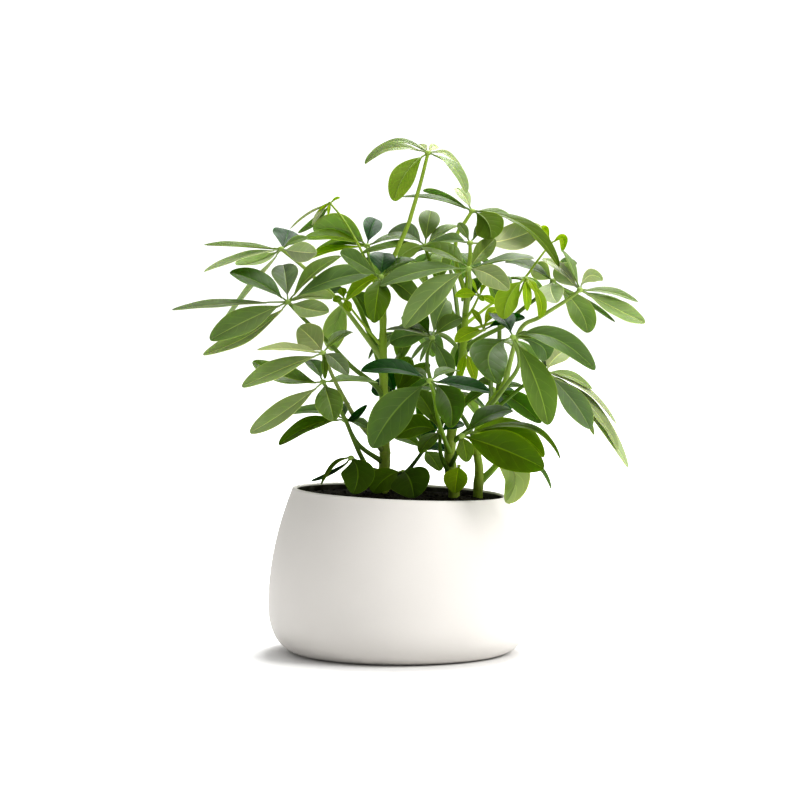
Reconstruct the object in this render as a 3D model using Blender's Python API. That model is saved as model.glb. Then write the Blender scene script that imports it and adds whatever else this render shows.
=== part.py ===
"""A potted dwarf umbrella plant: a round ceramic pot, its soil, three stems and their compound leaves.

Run it in Blender 4.5. Sizes below are in millimetres and become metres when a mesh is made. +Z is up,
the origin is the middle of the pot's foot, and the front of the plant faces -Y.

The places of stems, hubs and leaflet tips are given as they are seen from the front, at EYE: across and
up on the picture plane through the plant, and depth behind that plane. Each compound leaf is one node:
its stalk, its hub and its leaflets, joined in one solid.
"""
import math

import bmesh
import bpy
from mathutils import Vector
from mathutils.bvhtree import BVHTree

MM = 0.001
GAP = 0.3                      # between pieces that touch

# The pot
POT_HEIGHT = 161.0
FOOT_RADIUS = 98.0
BELLY_RADIUS = 132.2
BELLY_HEIGHT = 46.0
RIM_DRAW_IN = 25.0             # how much narrower the mouth is than the belly
RIM_CURVE = 1.9                # power of the wall's curve above the belly
CORNER_POWER = 2.2             # squareness of the rounded lower corner
WALL = 5.2
FLOOR = 9.0
LIP_RADIUS = WALL / 2
RIM_SLANT = 0.00027            # the left side of the rim stands a little higher
POT_SEGMENTS = 36
CORNER_STEPS = 5
WALL_STEPS = 5
LIP_STEPS = 4

# The soil
SOIL_BELOW_RIM = 8.0
SOIL_DOME = 4.0
SOIL_BUMP = 0.8
SOIL_RINGS = 5
HOLE_DEPTH = 62.0

# Where the front view was taken from
EYE = Vector((0.0, -2800.0, 382.3))
AIM = Vector((0.0, 0.0, 252.3))
AIM_UP = 250.0                 # the height that the picture plane gives the aimed point

# Stems, leaf stalks and leaflets
STEM_SIDES = 9
STEM_STEPS = 11
STALK_SIDES = 5
STALK_STEP = 24.0              # length of a straight piece of a leaf stalk
STALK_FOOT_RADIUS = 2.6
STALK_TOP_RADIUS = 1.7
HUB_RADIUS = 3.9
YOUNG_LENGTH = 50.0            # leaves with shorter leaflets are young and slim
YOUNG_SHARE = 0.6              # of a grown leaf's stalk and hub
ROOT_RADIUS = 0.9              # half the thickness of a leaflet's own little stalk
ROOT_START = 1.2               # how far from the hub's middle that little stalk starts
BLADE_THICKNESS = 1.4
BLADE_WIDTH_SHARE = 0.43       # of the blade's length
BLADE_STATIONS = (0.2, 0.44, 0.7, 0.9)
SMALL_BLADE_STATIONS = (0.28, 0.6, 0.88)
SMALL_BLADE = 62.0             # blades shorter than this have fewer stations
BLADE_FOLD = 0.17              # rise of the edges per half width
BLADE_ARCH = 0.085             # rise of a leaflet's middle per length
CLEARANCE = 1.1                # kept between leaves

# Colours, in linear light
CERAMIC = (0.82, 0.80, 0.77)
SOIL = (0.035, 0.026, 0.018)
BARK = (0.16, 0.22, 0.04)
LEAF_GREEN = (0.07, 0.20, 0.03)
YOUNG_GREEN = (0.28, 0.46, 0.06)

# Depth shifts that are tried, nearest first, when a leaflet or a stalk would touch another
SHIFTS = (0, 7, -7, 14, -14, 21, -21, 29, -29, 38, -38, 48, -48)
TURNS = (1.0, 0.6, 1.35)       # changes of a blade's seen width that are tried
FOOT_SHARE = 0.3               # leaflets of one leaf may touch this close to their hub
MIDDLE_DEPTH = 0.55            # depth of a leaflet's middle, as a share of its tip's


def clear_scene():
    for old in list(bpy.data.objects):
        bpy.data.objects.remove(old, do_unlink=True)


def seen_at(across, up, depth):
    """The point at a depth that the front view shows at (across, up)."""
    forward = AIM - EYE
    reach = forward.length
    forward.normalize()
    right = Vector((1.0, 0.0, 0.0))
    lift = right.cross(forward)
    ray = forward * reach + right * across + lift * (up - AIM_UP)
    return EYE + ray * ((depth - EYE.y) / ray.y)


# What the plant is made of, written as it is seen from the front

def blade(across, up, turn, seen, mid=None, root=0.15, size=1.0, wide=None):
    """A leaflet: its tip, how far it turns away (-1 to 1) and how wide it looks (underside negative)."""
    return {"tip": (across, up), "turn": turn, "seen": seen, "mid": mid, "root": root, "size": size,
            "wide": wide}


def leaf(name, stem, joint, hub, length, route, blades, stout=1.0):
    """A compound leaf: stem, height of its joint there, hub, route of its stalk, and stoutness of both."""
    return {"name": name, "stem": stem, "joint": joint, "hub": hub, "length": length,
            "route": route, "blades": blades, "stout": stout}


# Each stem: places (across, up, depth) from its foot to its top, and the radius at both ends
STEMS = {
    "stem_left": ([(-17, 160, 14), (-15, 200, 12), (-16, 250, 8), (-17, 300, 4), (-17, 350, 2),
                   (-19, 371, 0)], 5.4, 2.8),
    "stem_centre": ([(54, 158, 8), (50, 192, 8), (52, 222, 8), (55, 250, 8), (62, 290, 6),
                     (65, 330, 5), (68, 378, 4)], 5.8, 2.1),
    "stem_right": ([(78, 158, 32), (79, 182, 32), (76, 212, 30), (86, 240, 28), (101, 262, 24),
                    (108, 276, 20)], 5.0, 1.9),
}

LEAVES = [
    leaf("leaf_centre_top", "stem_centre", 338, (69, 381, -46), 88, [(70, 362)], [
        blade(-20, 364, -0.2, 16, mid=(24, 379)),
        blade(4, 322, -0.6, 27, mid=(35, 358)),
        blade(23, 403, 0.5, 14),
        blade(95, 411, 0.6, 14, mid=(81, 397), wide=18),
        blade(134, 391, -0.2, 6, mid=(103, 390)),
        blade(109, 360, -0.7, 17, size=0.8),
    ]),
    leaf("leaf_right_front", "stem_right", 238, (113, 313, -86), 93, [(104, 262), (119, 286)], [
        blade(98, 266, -0.9, 38, mid=(89, 296)),
        blade(148, 225, -0.4, 30, mid=(135, 271)),
        blade(195, 280, -0.2, 21, mid=(153, 312)),
        blade(146, 290, 0.6, 14, mid=(140, 305), root=0.25, wide=22),
        blade(134, 307, 0.9, 4, size=0.6, wide=10),
        blade(94, 336, 0.9, 8, size=0.8),
    ]),
    leaf("leaf_centre_front", "stem_centre", 196, (30, 269, -98), 92, [(44, 212), (38, 232), (34, 255)], [
        blade(-39, 279, 0.2, 15, mid=(-4, 281)),
        blade(-28, 202, -0.5, 37, mid=(-3, 241)),
        blade(90, 258, 0.2, 13, mid=(61, 265)),
        blade(51, 222, -0.8, 28, mid=(49, 250), wide=29),
        blade(2, 279, 0.7, 4, size=0.7, wide=18),
        blade(58, 279, 0.7, 5, size=0.7, wide=18),
    ]),
    leaf("leaf_far_left", "stem_left", 252, (-112, 348, -30), 100,
         [(-25, 265), (-48, 283), (-70, 306), (-97, 332)], [
        blade(-228, 340, 0.1, 8, mid=(-170, 346), root=0.28, wide=22),
        blade(-190, 310, -0.3, 25, mid=(-152, 330)),
        blade(-197, 295, 0.2, 15, mid=(-147, 317)),
        blade(-170, 378, 0.3, 17, mid=(-141, 367)),
        blade(-117, 385, 0.9, 26, size=0.8),
        blade(-59, 394, 0.4, 12),
        blade(-28, 377, -0.1, 20, mid=(-70, 369)),
        blade(-68, 351, 0.5, -8, size=0.7),
        blade(-71, 338, -0.8, 13, mid=(-93, 341), size=0.7),
    ]),
    leaf("leaf_low_front", "stem_centre", 184, (62, 214, -96), 100, [(58, 200)], [
        blade(144, 182, -0.5, 36, mid=(102, 201), root=0.08),
        blade(144, 193, 0.3, 22, mid=(108, 219)),
        blade(160, 191, 0.6, 6, mid=(125, 223), wide=16),
        blade(106, 147, -0.3, -26, mid=(111, 184)),
        blade(151, 161, 0.2, 5, mid=(122, 196), wide=14),
        blade(112, 240, 0.7, 14, size=0.8),
        blade(67, 188, 0.4, 14, size=0.6, wide=17),
    ]),
    leaf("leaf_lower_left", "stem_left", 177, (-77, 268, -56), 84,
         [(-31, 182), (-39, 194), (-47, 212), (-55, 231), (-66, 250)], [
        blade(-66, 229, -0.9, 26, mid=(-71, 250)),
        blade(-150, 217, -0.2, 20, mid=(-113, 240)),
        blade(-147, 289, 0.9, 16, mid=(-112, 272)),
        blade(-22, 267, 0.4, 5, mid=(-50, 270)),
        blade(-92, 290, 0.95, 8, size=0.6),
    ]),
    leaf("leaf_crown", "stem_left", 366, (28, 497, -8), 80, [(-4, 398), (8, 425), (12, 438), (20, 465)], [
        blade(-6, 449, -0.8, -22, mid=(6, 477), wide=24),
        blade(-28, 499, 0.6, 3, mid=(0, 509), wide=12),
        blade(-35, 486, 0.2, 9, mid=(-8, 502), wide=20),
        blade(66, 457, -0.5, 8, mid=(52, 484), wide=20),
        blade(67, 464, 0.5, 4, mid=(51, 493), wide=12),
        blade(18, 505, 0.95, 3, size=0.35, wide=9),
        blade(38, 503, 0.95, 3, size=0.4, wide=9),
    ]),
    leaf("leaf_upper_left", "stem_left", 290, (-119, 401, 5), 88,
         [(-54, 340), (-69, 357), (-84, 371), (-100, 386)], [
        blade(-196, 405, 0.1, 5, mid=(-156, 404), wide=20),
        blade(-196, 378, -0.1, 7, mid=(-156, 393), wide=22),
        blade(-179, 325, -0.2, 6, mid=(-146, 366), wide=18),
        blade(-164, 385, 0.6, -10, mid=(-141, 390), size=0.9),
        blade(-112, 420, 0.8, 27, mid=(-114, 411), size=0.6, wide=30),
        blade(-92, 412, 0.8, 7, size=0.3),
        blade(-83, 397, -0.9, 13, mid=(-100, 398), size=0.7),
    ]),
    leaf("leaf_left_top", "stem_left", 352, (-19, 373, -30), 80, [(-18, 365)], [
        blade(-26, 327, -0.8, 26),
        blade(-60, 397, -0.2, 14, mid=(-41, 386)),
        blade(-16, 397, 0.8, 18),
        blade(16, 390, 0.5, 9),
        blade(-54, 350, 0.3, 12),
        blade(20, 346, 0.2, 20),
    ]),
    leaf("leaf_far_right", "stem_right", 272, (180, 360, -12), 80, [(120, 320), (140, 333), (167, 350)], [
        blade(245, 327, -0.2, 17, mid=(214, 342)),
        blade(238, 348, 0.2, 7, mid=(209, 358), wide=18),
        blade(162, 400, 0.5, 5, wide=14),
        blade(160, 386, 0.5, 20, mid=(166, 374), wide=23),
        blade(142, 391, 0.9, 7, wide=12),
        blade(203, 370, 0.9, 10, mid=(189, 374), size=0.5),
        blade(240, 334, 0.5, 7, mid=(211, 348), wide=18),
    ]),
    leaf("leaf_lower_right", "stem_centre", 207, (145, 278, -38), 94,
         [(75, 225), (100, 245), (123, 264)], [
        blade(190, 221, -0.5, 22, mid=(172, 250), wide=26),
        blade(218, 200, 0.1, 10, mid=(189, 245), wide=24),
        blade(228, 182, -0.1, 12, mid=(192, 237), wide=26),
        blade(216, 226, 0.4, 5, mid=(184, 261), wide=18),
        blade(192, 261, 0.3, 8, size=0.7, wide=16),
        blade(194, 215, 0.5, 10, mid=(170, 255), wide=22),
        blade(150, 300, 0.95, 8, size=0.7),
        blade(166, 299, 0.6, 14, size=0.8),
    ]),
    leaf("leaf_left", "stem_left", 197, (-77, 297, -84), 86, [(-43, 230), (-55, 250), (-67, 273)], [
        blade(-158, 263, -0.1, 18, mid=(-118, 281)),
        blade(-143, 300, 0.4, 7, mid=(-110, 301)),
        blade(-101, 323, 0.6, 22, mid=(-86, 309), wide=28),
        blade(-48, 318, 0.6, 6, wide=14),
        blade(-52, 275, -0.7, 12, size=0.6),
        blade(-75, 271, -0.8, -6, size=0.35),
    ]),
    leaf("leaf_centre_lime", "stem_centre", 374, (70, 407, -10), 84, [(70, 392)], [
        blade(141, 424, -0.3, 24, mid=(106, 410), root=0.3, wide=29),
        blade(28, 404, 0.3, 9),
        blade(58, 427, 0.4, 9, size=0.35),
        blade(96, 428, 0.9, 7, size=0.6),
    ]),
    leaf("leaf_crown_right", "stem_centre", 354, (72, 439, 15), 84, [(56, 388), (57, 415), (65, 428)], [
        blade(91, 411, -0.6, -28, mid=(87, 428), size=0.8, wide=31),
        blade(159, 383, -0.2, 11, mid=(123, 425), root=0.25, wide=26),
        blade(121, 422, 0.3, 6, mid=(99, 436), wide=18),
        blade(2, 453, 0.3, 4, mid=(38, 451), wide=16),
        blade(23, 459, 0.6, -5, mid=(47, 452), wide=16),
        blade(56, 462, 0.9, 8, size=0.5),
    ]),
    leaf("leaf_behind_crown", "stem_centre", 314, (25, 404, 24), 78, [(61, 322), (45, 350), (30, 388)], [
        blade(31, 439, 0.6, 17, wide=22),
        blade(-12, 416, 0.4, 14, mid=(6, 417)),
        blade(-39, 396, 0.0, 7, mid=(-4, 404)),
        blade(-2, 392, -0.8, -15, size=0.6),
        blade(58, 424, 0.4, 8, size=0.8),
        blade(54, 413, 0.9, 5, size=0.6),
    ]),
    leaf("leaf_back_left", "stem_left", 330, (-33, 404, 55), 76, [(-22, 360), (-30, 390)], [
        blade(-87, 420, -0.3, -27, mid=(-59, 421), root=0.08, wide=29),
        blade(-95, 411, 0.3, 10),
        blade(-84, 400, 0.1, 7),
        blade(-24, 431, 0.8, 13, size=0.8),
        blade(-100, 388, -0.3, 7, mid=(-68, 400), wide=18),
        blade(15, 410, 0.6, 5, wide=14),
    ]),
    leaf("leaf_dark_left", "stem_left", 187, (-55, 230, -24), 78, [(-41, 205)], [
        blade(-121, 205, -0.2, 14, mid=(-88, 225)),
        blade(-117, 235, 0.3, 9, mid=(-80, 239), wide=20),
        blade(-33, 245, -0.3, 7, mid=(-45, 233), size=0.6, wide=10),
        blade(-31, 221, -0.6, 8, size=0.7),
        blade(-60, 244, 0.9, 10, size=0.7),
    ]),
    leaf("leaf_over_rim", "stem_left", 170, (-49, 192, -62), 60, [(-36, 184)], [
        blade(-79, 165, -0.2, 4, mid=(-64, 187), root=0.2, wide=9),
        blade(-89, 169, 0.1, 4, mid=(-68, 177), wide=9),
        blade(-47, 156, -0.5, 30, mid=(-42, 177), root=0.08, wide=33),
    ]),
    leaf("leaf_soil_front", "stem_left", 163, (3, 179, -50), 46, [(-8, 172)], [
        blade(-27, 157, -0.4, 23, mid=(-14, 172), wide=26),
        blade(14, 152, -0.6, 38, mid=(10, 170), root=0.08, wide=41),
    ]),
    leaf("leaf_heart", "stem_centre", 224, (32, 312, -30), 76, [(44, 240), (33, 262), (27, 290)], [
        blade(-10, 308, 0.6, 18),
        blade(50, 273, -0.6, 14, mid=(44, 291), wide=18),
        blade(11, 290, -0.3, 4, size=0.5, wide=5),
        blade(20, 288, -0.5, 4, size=0.5, wide=5),
        blade(4, 335, 0.5, 16),
        blade(-14, 320, 0.3, 5, wide=12),
        blade(47, 350, 0.7, 18, wide=22),
        blade(62, 332, 0.4, 14, wide=18),
    ]),
    leaf("leaf_behind_right", "stem_centre", 300, (153, 369, 26), 74, [(80, 312), (105, 325), (120, 339),
                                                                      (143, 357)], [
        blade(105, 388, 0.1, 9, mid=(130, 383)),
        blade(132, 384, 0.7, 15, mid=(143, 377), size=0.7, wide=20),
        blade(157, 347, -0.8, 25, mid=(151, 359), size=0.7, wide=27),
        blade(187, 317, -0.5, 24, mid=(179, 341), wide=27),
        blade(215, 328, -0.4, 5, mid=(187, 347), wide=14),
        blade(176, 388, 0.9, 6, wide=14),
    ]),
    leaf("leaf_mid_left", "stem_left", 272, (-49, 357, 36), 68, [(-25, 302), (-33, 323), (-41, 343)], [
        blade(-67, 299, -0.3, -24, mid=(-64, 326)),
        blade(-88, 350, 0.6, 6),
        blade(-34, 392, 0.8, 10),
        blade(-26, 330, 0.6, 12),
    ], stout=1.3),
    leaf("young_leaf_right", "stem_centre", 318, (126, 372, -44), 48, [(103, 332), (115, 346)], [
        blade(104, 331, -0.3, -22, mid=(109, 354), wide=24),
        blade(127, 339, -0.5, 8, wide=10),
        blade(136, 358, -0.6, 6, size=0.5, wide=8),
        blade(139, 332, -0.3, 10, mid=(140, 351), wide=12),
    ]),
    leaf("leaf_low_back", "stem_left", 167, (24, 200, 44), 58, [(5, 177)], [
        blade(-8, 215, 0.3, 12),
        blade(38, 233, 0.5, 12),
        blade(52, 198, 0.3, 8),
        blade(40, 179, -0.3, 15, wide=21),
        blade(14, 228, 0.8, 10),
    ]),
    leaf("leaf_behind_front", "stem_centre", 170, (40, 218, -12), 66, [(41, 195)], [
        blade(-4, 213, 0.2, 22, mid=(18, 223), wide=28),
        blade(16, 259, 0.3, 22, wide=28),
        blade(20, 197, -0.5, 10, wide=18),
        blade(54, 254, 0.8, 12),
        blade(64, 226, 0.9, 10, size=0.8),
    ]),
    leaf("leaf_inner", "stem_left", 236, (-4, 252, 34), 58, [(-10, 246)], [
        blade(-18, 288, 0.3, 17),
        blade(10, 293, 0.4, 19),
        blade(30, 286, 0.2, 15),
        blade(-28, 262, 0.4, 12),
        blade(36, 264, 0.5, 14),
    ]),
    leaf("leaf_right_back", "stem_right", 167, (92, 260, 62), 74, [(93, 181), (103, 196), (102, 228)], [
        blade(141, 227, -0.1, 20),
        blade(126, 262, 0.4, 5, wide=14),
        blade(84, 273, 0.9, 8, size=0.8),
        blade(60, 240, 0.6, 8),
        blade(110, 240, 0.9, 12),
    ], stout=1.35),
    leaf("young_leaf_left", "stem_left", 343, (-70, 447, 62), 44, [(-25, 368), (-40, 402), (-57, 431)], [
        blade(-72, 434, -0.6, 4, size=0.5, wide=5),
        blade(-82, 438, -0.4, 4, size=0.5, wide=4),
        blade(-88, 425, -0.2, 5, mid=(-79, 439), wide=6),
        blade(-60, 452, 0.4, 5, size=0.4, wide=6),
        blade(-110, 421, 0.0, 2, mid=(-91, 437), wide=4),
        blade(-102, 417, -0.1, 7, mid=(-82, 431), wide=9),
    ]),
    leaf("young_leaf_centre", "stem_centre", 331, (79, 354, -16), 24, [], [
        blade(55, 354, -0.3, 7, wide=10),
        blade(95, 346, -0.3, 7, wide=9),
        blade(84, 349, -0.6, 5, size=0.8, wide=6),
        blade(67, 374, 0.3, 4, wide=6),
        blade(87, 367, 0.3, 4, wide=6),
    ]),
    leaf("young_leaf_heart", "stem_centre", 308, (84, 320, -36), 36, [(74, 314)], [
        blade(55, 308, -0.4, 13, wide=16),
        blade(125, 332, 0.2, 10, mid=(105, 330), wide=12),
        blade(71, 341, 0.2, 6, wide=8),
        blade(101, 338, 0.1, 9, mid=(90, 336), wide=11),
    ]),
    leaf("young_leaf_stem", "stem_centre", 284, (66, 297, -20), 28, [], [
        blade(75, 269, -0.2, 11, wide=13),
        blade(60, 272, -0.5, 8, wide=10),
    ]),
    leaf("young_leaf_branch", "stem_left", 302, (-56, 351, -12), 18, [(-40, 330)], [
        blade(-59, 362, 0.3, 9, wide=9),
        blade(-50, 338, -0.3, 9, wide=9),
        blade(-67, 349, -0.3, 7, wide=8),
    ]),
    leaf("young_leaf_top_right", "stem_centre", 325, (150, 406, 34), 24,
         [(90, 345), (120, 367), (138, 390)], [
        blade(137, 411, 0.3, 8, mid=(145, 420), wide=10),
        blade(162, 398, -0.3, 10, mid=(162, 411), wide=12),
    ]),
    leaf("young_leaf_foot", "stem_centre", 176, (59, 184, -20), 32, [], [
        blade(55, 157, -0.4, 24, mid=(57, 173), root=0.08, wide=26),
    ]),
]

# Leaves on the far side: stem, joint height, hub (x, z, y), length, and the angle of the first leaflet
FAR_LEAVES = [
    ("far_leaf_1", "stem_left", 312, (-14, 386, 102), 64, 40),
    ("far_leaf_2", "stem_centre", 290, (50, 394, 128), 66, 15),
    ("far_leaf_3", "stem_right", 259, (104, 370, 112), 62, 30),
    ("far_leaf_4", "stem_left", 226, (14, 312, 120), 66, 10),
    ("far_leaf_5", "stem_right", 248, (92, 304, 122), 66, 25),
    ("far_leaf_6", "stem_right", 208, (44, 250, 116), 62, 50),
]
FAR_BLADES = 6
FAR_DROOP = 0.34               # how far a far leaf's tips hang, per length
FAR_BENDS = (0.0, 0.16, -0.16)  # changes of a far leaflet's angle that are tried


# Curves and solids, in millimetres

def smooth_route(points, steps):
    """Evenly spaced points along a smooth curve through the given points."""
    ends = [points[0] * 2 - points[1]] + list(points) + [points[-1] * 2 - points[-2]]
    fine = []
    for i in range(1, len(ends) - 2):
        a, b, c, d = ends[i - 1], ends[i], ends[i + 1], ends[i + 2]
        for k in range(12):
            t = k / 12
            fine.append(0.5 * ((2 * b) + (c - a) * t + (2 * a - 5 * b + 4 * c - d) * t * t
                               + (3 * b - a - 3 * c + d) * t * t * t))
    fine.append(points[-1].copy())
    lengths = [0.0]
    for a, b in zip(fine, fine[1:]):
        lengths.append(lengths[-1] + (b - a).length)
    route = []
    k = 0
    for i in range(steps + 1):
        target = lengths[-1] * i / steps
        while k < len(fine) - 2 and lengths[k + 1] < target:
            k += 1
        share = (target - lengths[k]) / max(lengths[k + 1] - lengths[k], 1e-9)
        route.append(fine[k].lerp(fine[k + 1], min(max(share, 0.0), 1.0)))
    return route


def tangents(route):
    out = []
    for i in range(len(route)):
        before = route[max(i - 1, 0)]
        after = route[min(i + 1, len(route) - 1)]
        out.append((after - before).normalized())
    return out


def tube(route, radii, sides):
    """A closed round tube along a route: points and faces."""
    ways = tangents(route)
    side = ways[0].orthogonal().normalized()
    points, faces = [], []
    for centre, way, radius in zip(route, ways, radii):
        side = (side - way * side.dot(way)).normalized()
        other = way.cross(side)
        for k in range(sides):
            angle = math.tau * k / sides
            points.append(centre + (side * math.cos(angle) + other * math.sin(angle)) * radius)
    for i in range(len(route) - 1):
        for k in range(sides):
            n = (k + 1) % sides
            a, b = i * sides + k, i * sides + n
            faces.append((a, b, b + sides))
            faces.append((a, b + sides, a + sides))
    last = (len(route) - 1) * sides
    faces.append(tuple(range(sides - 1, -1, -1)))
    faces.append(tuple(range(last, last + sides)))
    return points, faces


def knob(centre, radius):
    """The small hub where a leaf's leaflets meet: points and faces."""
    ways = [Vector(way) for way in ((1, 0, 0), (0, 1, 0), (-1, 0, 0), (0, -1, 0), (0, 0, 1), (0, 0, -1))]
    points = [centre + way * radius for way in ways]
    faces = []
    for k in range(4):
        n = (k + 1) % 4
        faces += [(k, n, 4), (n, k, 5)]
    return points, faces


def make_material(name, colour, roughness):
    material = bpy.data.materials.new(name)
    material.use_nodes = True
    shader = material.node_tree.nodes["Principled BSDF"]
    shader.inputs["Base Color"].default_value = (*colour, 1.0)
    shader.inputs["Roughness"].default_value = roughness
    shader.inputs["Metallic"].default_value = 0.0
    return material


def add_object(name, points, faces):
    mesh = bpy.data.meshes.new(name)
    mesh.from_pydata([tuple(p * MM) for p in points], [], faces)
    mesh.validate()
    item = bpy.data.objects.new(name, mesh)
    bpy.context.scene.collection.objects.link(item)
    return item


def drop(item):
    mesh = item.data
    bpy.data.objects.remove(item, do_unlink=True)
    bpy.data.meshes.remove(mesh)


def joined(name, solids, cutters=()):
    """One object: the union of the solids, less the cutters."""
    base = add_object(name, *solids[0])
    group = bpy.data.collections.new(name + "_pieces")
    bpy.context.scene.collection.children.link(group)
    helpers = []
    for points, faces in solids[1:]:
        helper = add_object(name + "_piece", points, faces)
        bpy.context.scene.collection.objects.unlink(helper)
        group.objects.link(helper)
        helpers.append(helper)
    if helpers:
        union = base.modifiers.new("union", "BOOLEAN")
        union.operation = "UNION"
        union.operand_type = "COLLECTION"
        union.collection = group
        union.solver = "EXACT"
    for cutter in cutters:
        cut = base.modifiers.new("cut", "BOOLEAN")
        cut.operation = "DIFFERENCE"
        cut.object = cutter
        cut.solver = "EXACT"
    bpy.context.view_layer.update()
    evaluated = base.evaluated_get(bpy.context.evaluated_depsgraph_get())
    mesh = bpy.data.meshes.new_from_object(evaluated)
    old = base.data
    base.modifiers.clear()
    base.data = mesh
    bpy.data.meshes.remove(old)
    mesh.name = name
    for helper in helpers:
        drop(helper)
    bpy.data.collections.remove(group)
    keep_largest_body(base)
    return base


def keep_largest_body(item):
    """Loose scraps that a cut leaves are dropped."""
    work = bmesh.new()
    work.from_mesh(item.data)
    bmesh.ops.triangulate(work, faces=work.faces)
    unseen = set(work.verts)
    bodies = []
    while unseen:
        heap = [unseen.pop()]
        body = set(heap)
        while heap:
            for edge in heap.pop().link_edges:
                for vert in edge.verts:
                    if vert in unseen:
                        unseen.discard(vert)
                        body.add(vert)
                        heap.append(vert)
        bodies.append(body)
    bodies.sort(key=len, reverse=True)
    for body in bodies[1:]:
        bmesh.ops.delete(work, geom=list(body), context="VERTS")
    work.to_mesh(item.data)
    work.free()


# The pot and its soil

def slanted(x, y, z):
    return Vector((x, y, z * (1 - x * RIM_SLANT)))


def bowl_line(foot_radius, belly_radius, floor):
    """Radius and height along the bowl's side, from its flat floor up to the mouth."""
    line = []
    power = 2 / CORNER_POWER
    for k in range(CORNER_STEPS + 1):
        angle = math.pi / 2 * k / CORNER_STEPS
        out = math.sin(angle) ** power
        down = max(math.cos(angle), 0.0) ** power
        line.append((foot_radius + (belly_radius - foot_radius) * out,
                     BELLY_HEIGHT - (BELLY_HEIGHT - floor) * down))
    top = POT_HEIGHT - LIP_RADIUS
    for k in range(1, WALL_STEPS + 1):
        z = BELLY_HEIGHT + (top - BELLY_HEIGHT) * k / WALL_STEPS
        line.append((bowl_radius(belly_radius, z), z))
    return line


def bowl_radius(belly_radius, z):
    share = (z - BELLY_HEIGHT) / (POT_HEIGHT - BELLY_HEIGHT)
    return belly_radius - RIM_DRAW_IN * share ** RIM_CURVE


def turned(line, segments):
    """A closed turned body: the line starts and ends at flat faces."""
    points, faces = [], []
    for radius, z in line:
        for k in range(segments):
            angle = math.tau * k / segments
            points.append(slanted(radius * math.cos(angle), radius * math.sin(angle), z))
    for i in range(len(line) - 1):
        for k in range(segments):
            n = (k + 1) % segments
            a, b = i * segments + k, i * segments + n
            faces.append((a, b, b + segments))
            faces.append((a, b + segments, a + segments))
    last = (len(line) - 1) * segments
    faces.append(tuple(range(segments - 1, -1, -1)))
    faces.append(tuple(range(last, last + segments)))
    return points, faces


def make_pot():
    outside = bowl_line(FOOT_RADIUS, BELLY_RADIUS, 0.0)
    inside = bowl_line(FOOT_RADIUS - WALL, BELLY_RADIUS - WALL, FLOOR)
    lip_z = POT_HEIGHT - LIP_RADIUS
    middle = outside[-1][0] - LIP_RADIUS
    lip = []
    for k in range(1, LIP_STEPS):
        angle = math.pi * k / LIP_STEPS
        lip.append((middle + LIP_RADIUS * math.cos(angle), lip_z + LIP_RADIUS * math.sin(angle)))
    item = add_object("pot", *turned(outside + lip + inside[::-1], POT_SEGMENTS))
    item.data.materials.append(make_material("matte_ceramic", CERAMIC, 0.55))


def soil_height(x, y):
    mouth = BELLY_RADIUS - RIM_DRAW_IN
    share = min(math.hypot(x, y) / mouth, 1.0)
    bump = math.sin(x * 0.11 + 1.0) * math.cos(y * 0.13) + math.sin((x - y) * 0.19)
    return POT_HEIGHT - SOIL_BELOW_RIM + SOIL_DOME * (1 - share * share) + SOIL_BUMP * bump * (1 - share ** 4)


def make_soil(holes):
    line = bowl_line(FOOT_RADIUS - WALL - GAP, BELLY_RADIUS - WALL - GAP, FLOOR + GAP)
    edge = POT_HEIGHT - SOIL_BELOW_RIM
    line = [(radius, z) for radius, z in line if z < edge - 2]
    line.append((bowl_radius(BELLY_RADIUS - WALL - GAP, edge), edge))
    points, faces = turned(line, POT_SEGMENTS)
    faces.pop()
    ring = (len(line) - 1) * POT_SEGMENTS
    for i in range(1, SOIL_RINGS):
        radius = line[-1][0] * (1 - i / SOIL_RINGS)
        for k in range(POT_SEGMENTS):
            angle = math.tau * k / POT_SEGMENTS
            x, y = radius * math.cos(angle), radius * math.sin(angle)
            points.append(slanted(x, y, soil_height(x, y)))
        for k in range(POT_SEGMENTS):
            n = (k + 1) % POT_SEGMENTS
            a, b = ring + k, ring + n
            faces.append((a, b, b + POT_SEGMENTS))
            faces.append((a, b + POT_SEGMENTS, a + POT_SEGMENTS))
        ring += POT_SEGMENTS
    points.append(slanted(0, 0, soil_height(0, 0)))
    for k in range(POT_SEGMENTS):
        faces.append((ring + k, ring + (k + 1) % POT_SEGMENTS, len(points) - 1))
    item = joined("soil", [(points, faces)], holes)
    item.data.materials.append(make_material("potting_soil", SOIL, 0.95))


# Stems

def stem_line(name):
    """The stem's route, straight down in the soil and smooth above it, and its radii."""
    places, foot, top = STEMS[name]
    above = [seen_at(*place) for place in places]
    route = smooth_route(above, STEM_STEPS)
    below = route[0] - Vector((0, 0, HOLE_DEPTH))
    route = [below] + route
    radii = [foot] + [foot + (top - foot) * i / STEM_STEPS for i in range(STEM_STEPS + 1)]
    return route, radii


def widened(line, extra, deeper=0.0):
    route, radii = line
    route = [route[0] - Vector((0, 0, deeper))] + route[1:]
    return tube(route, [radius + extra for radius in radii], STEM_SIDES)


def stem_point(name, up):
    """The point on a stem's axis that the front view shows at a height."""
    places = STEMS[name][0]
    for low, high in zip(places, places[1:]):
        if low[1] <= up <= high[1]:
            share = (up - low[1]) / (high[1] - low[1])
            return seen_at(low[0] + (high[0] - low[0]) * share, up, low[2] + (high[2] - low[2]) * share)
    return seen_at(*places[-1])


# Leaflets

def blade_width_at(share):
    """Half outline of a leaflet: a narrow foot, widest past the middle, a blunt point."""
    return math.sin(math.pi * share ** 1.14) ** (0.95 - 0.35 * share)


def leaflet_path(start, middle, tip, share):
    control = middle * 2 - (start + tip) / 2
    return start * (1 - share) ** 2 + control * 2 * share * (1 - share) + tip * share ** 2


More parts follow.
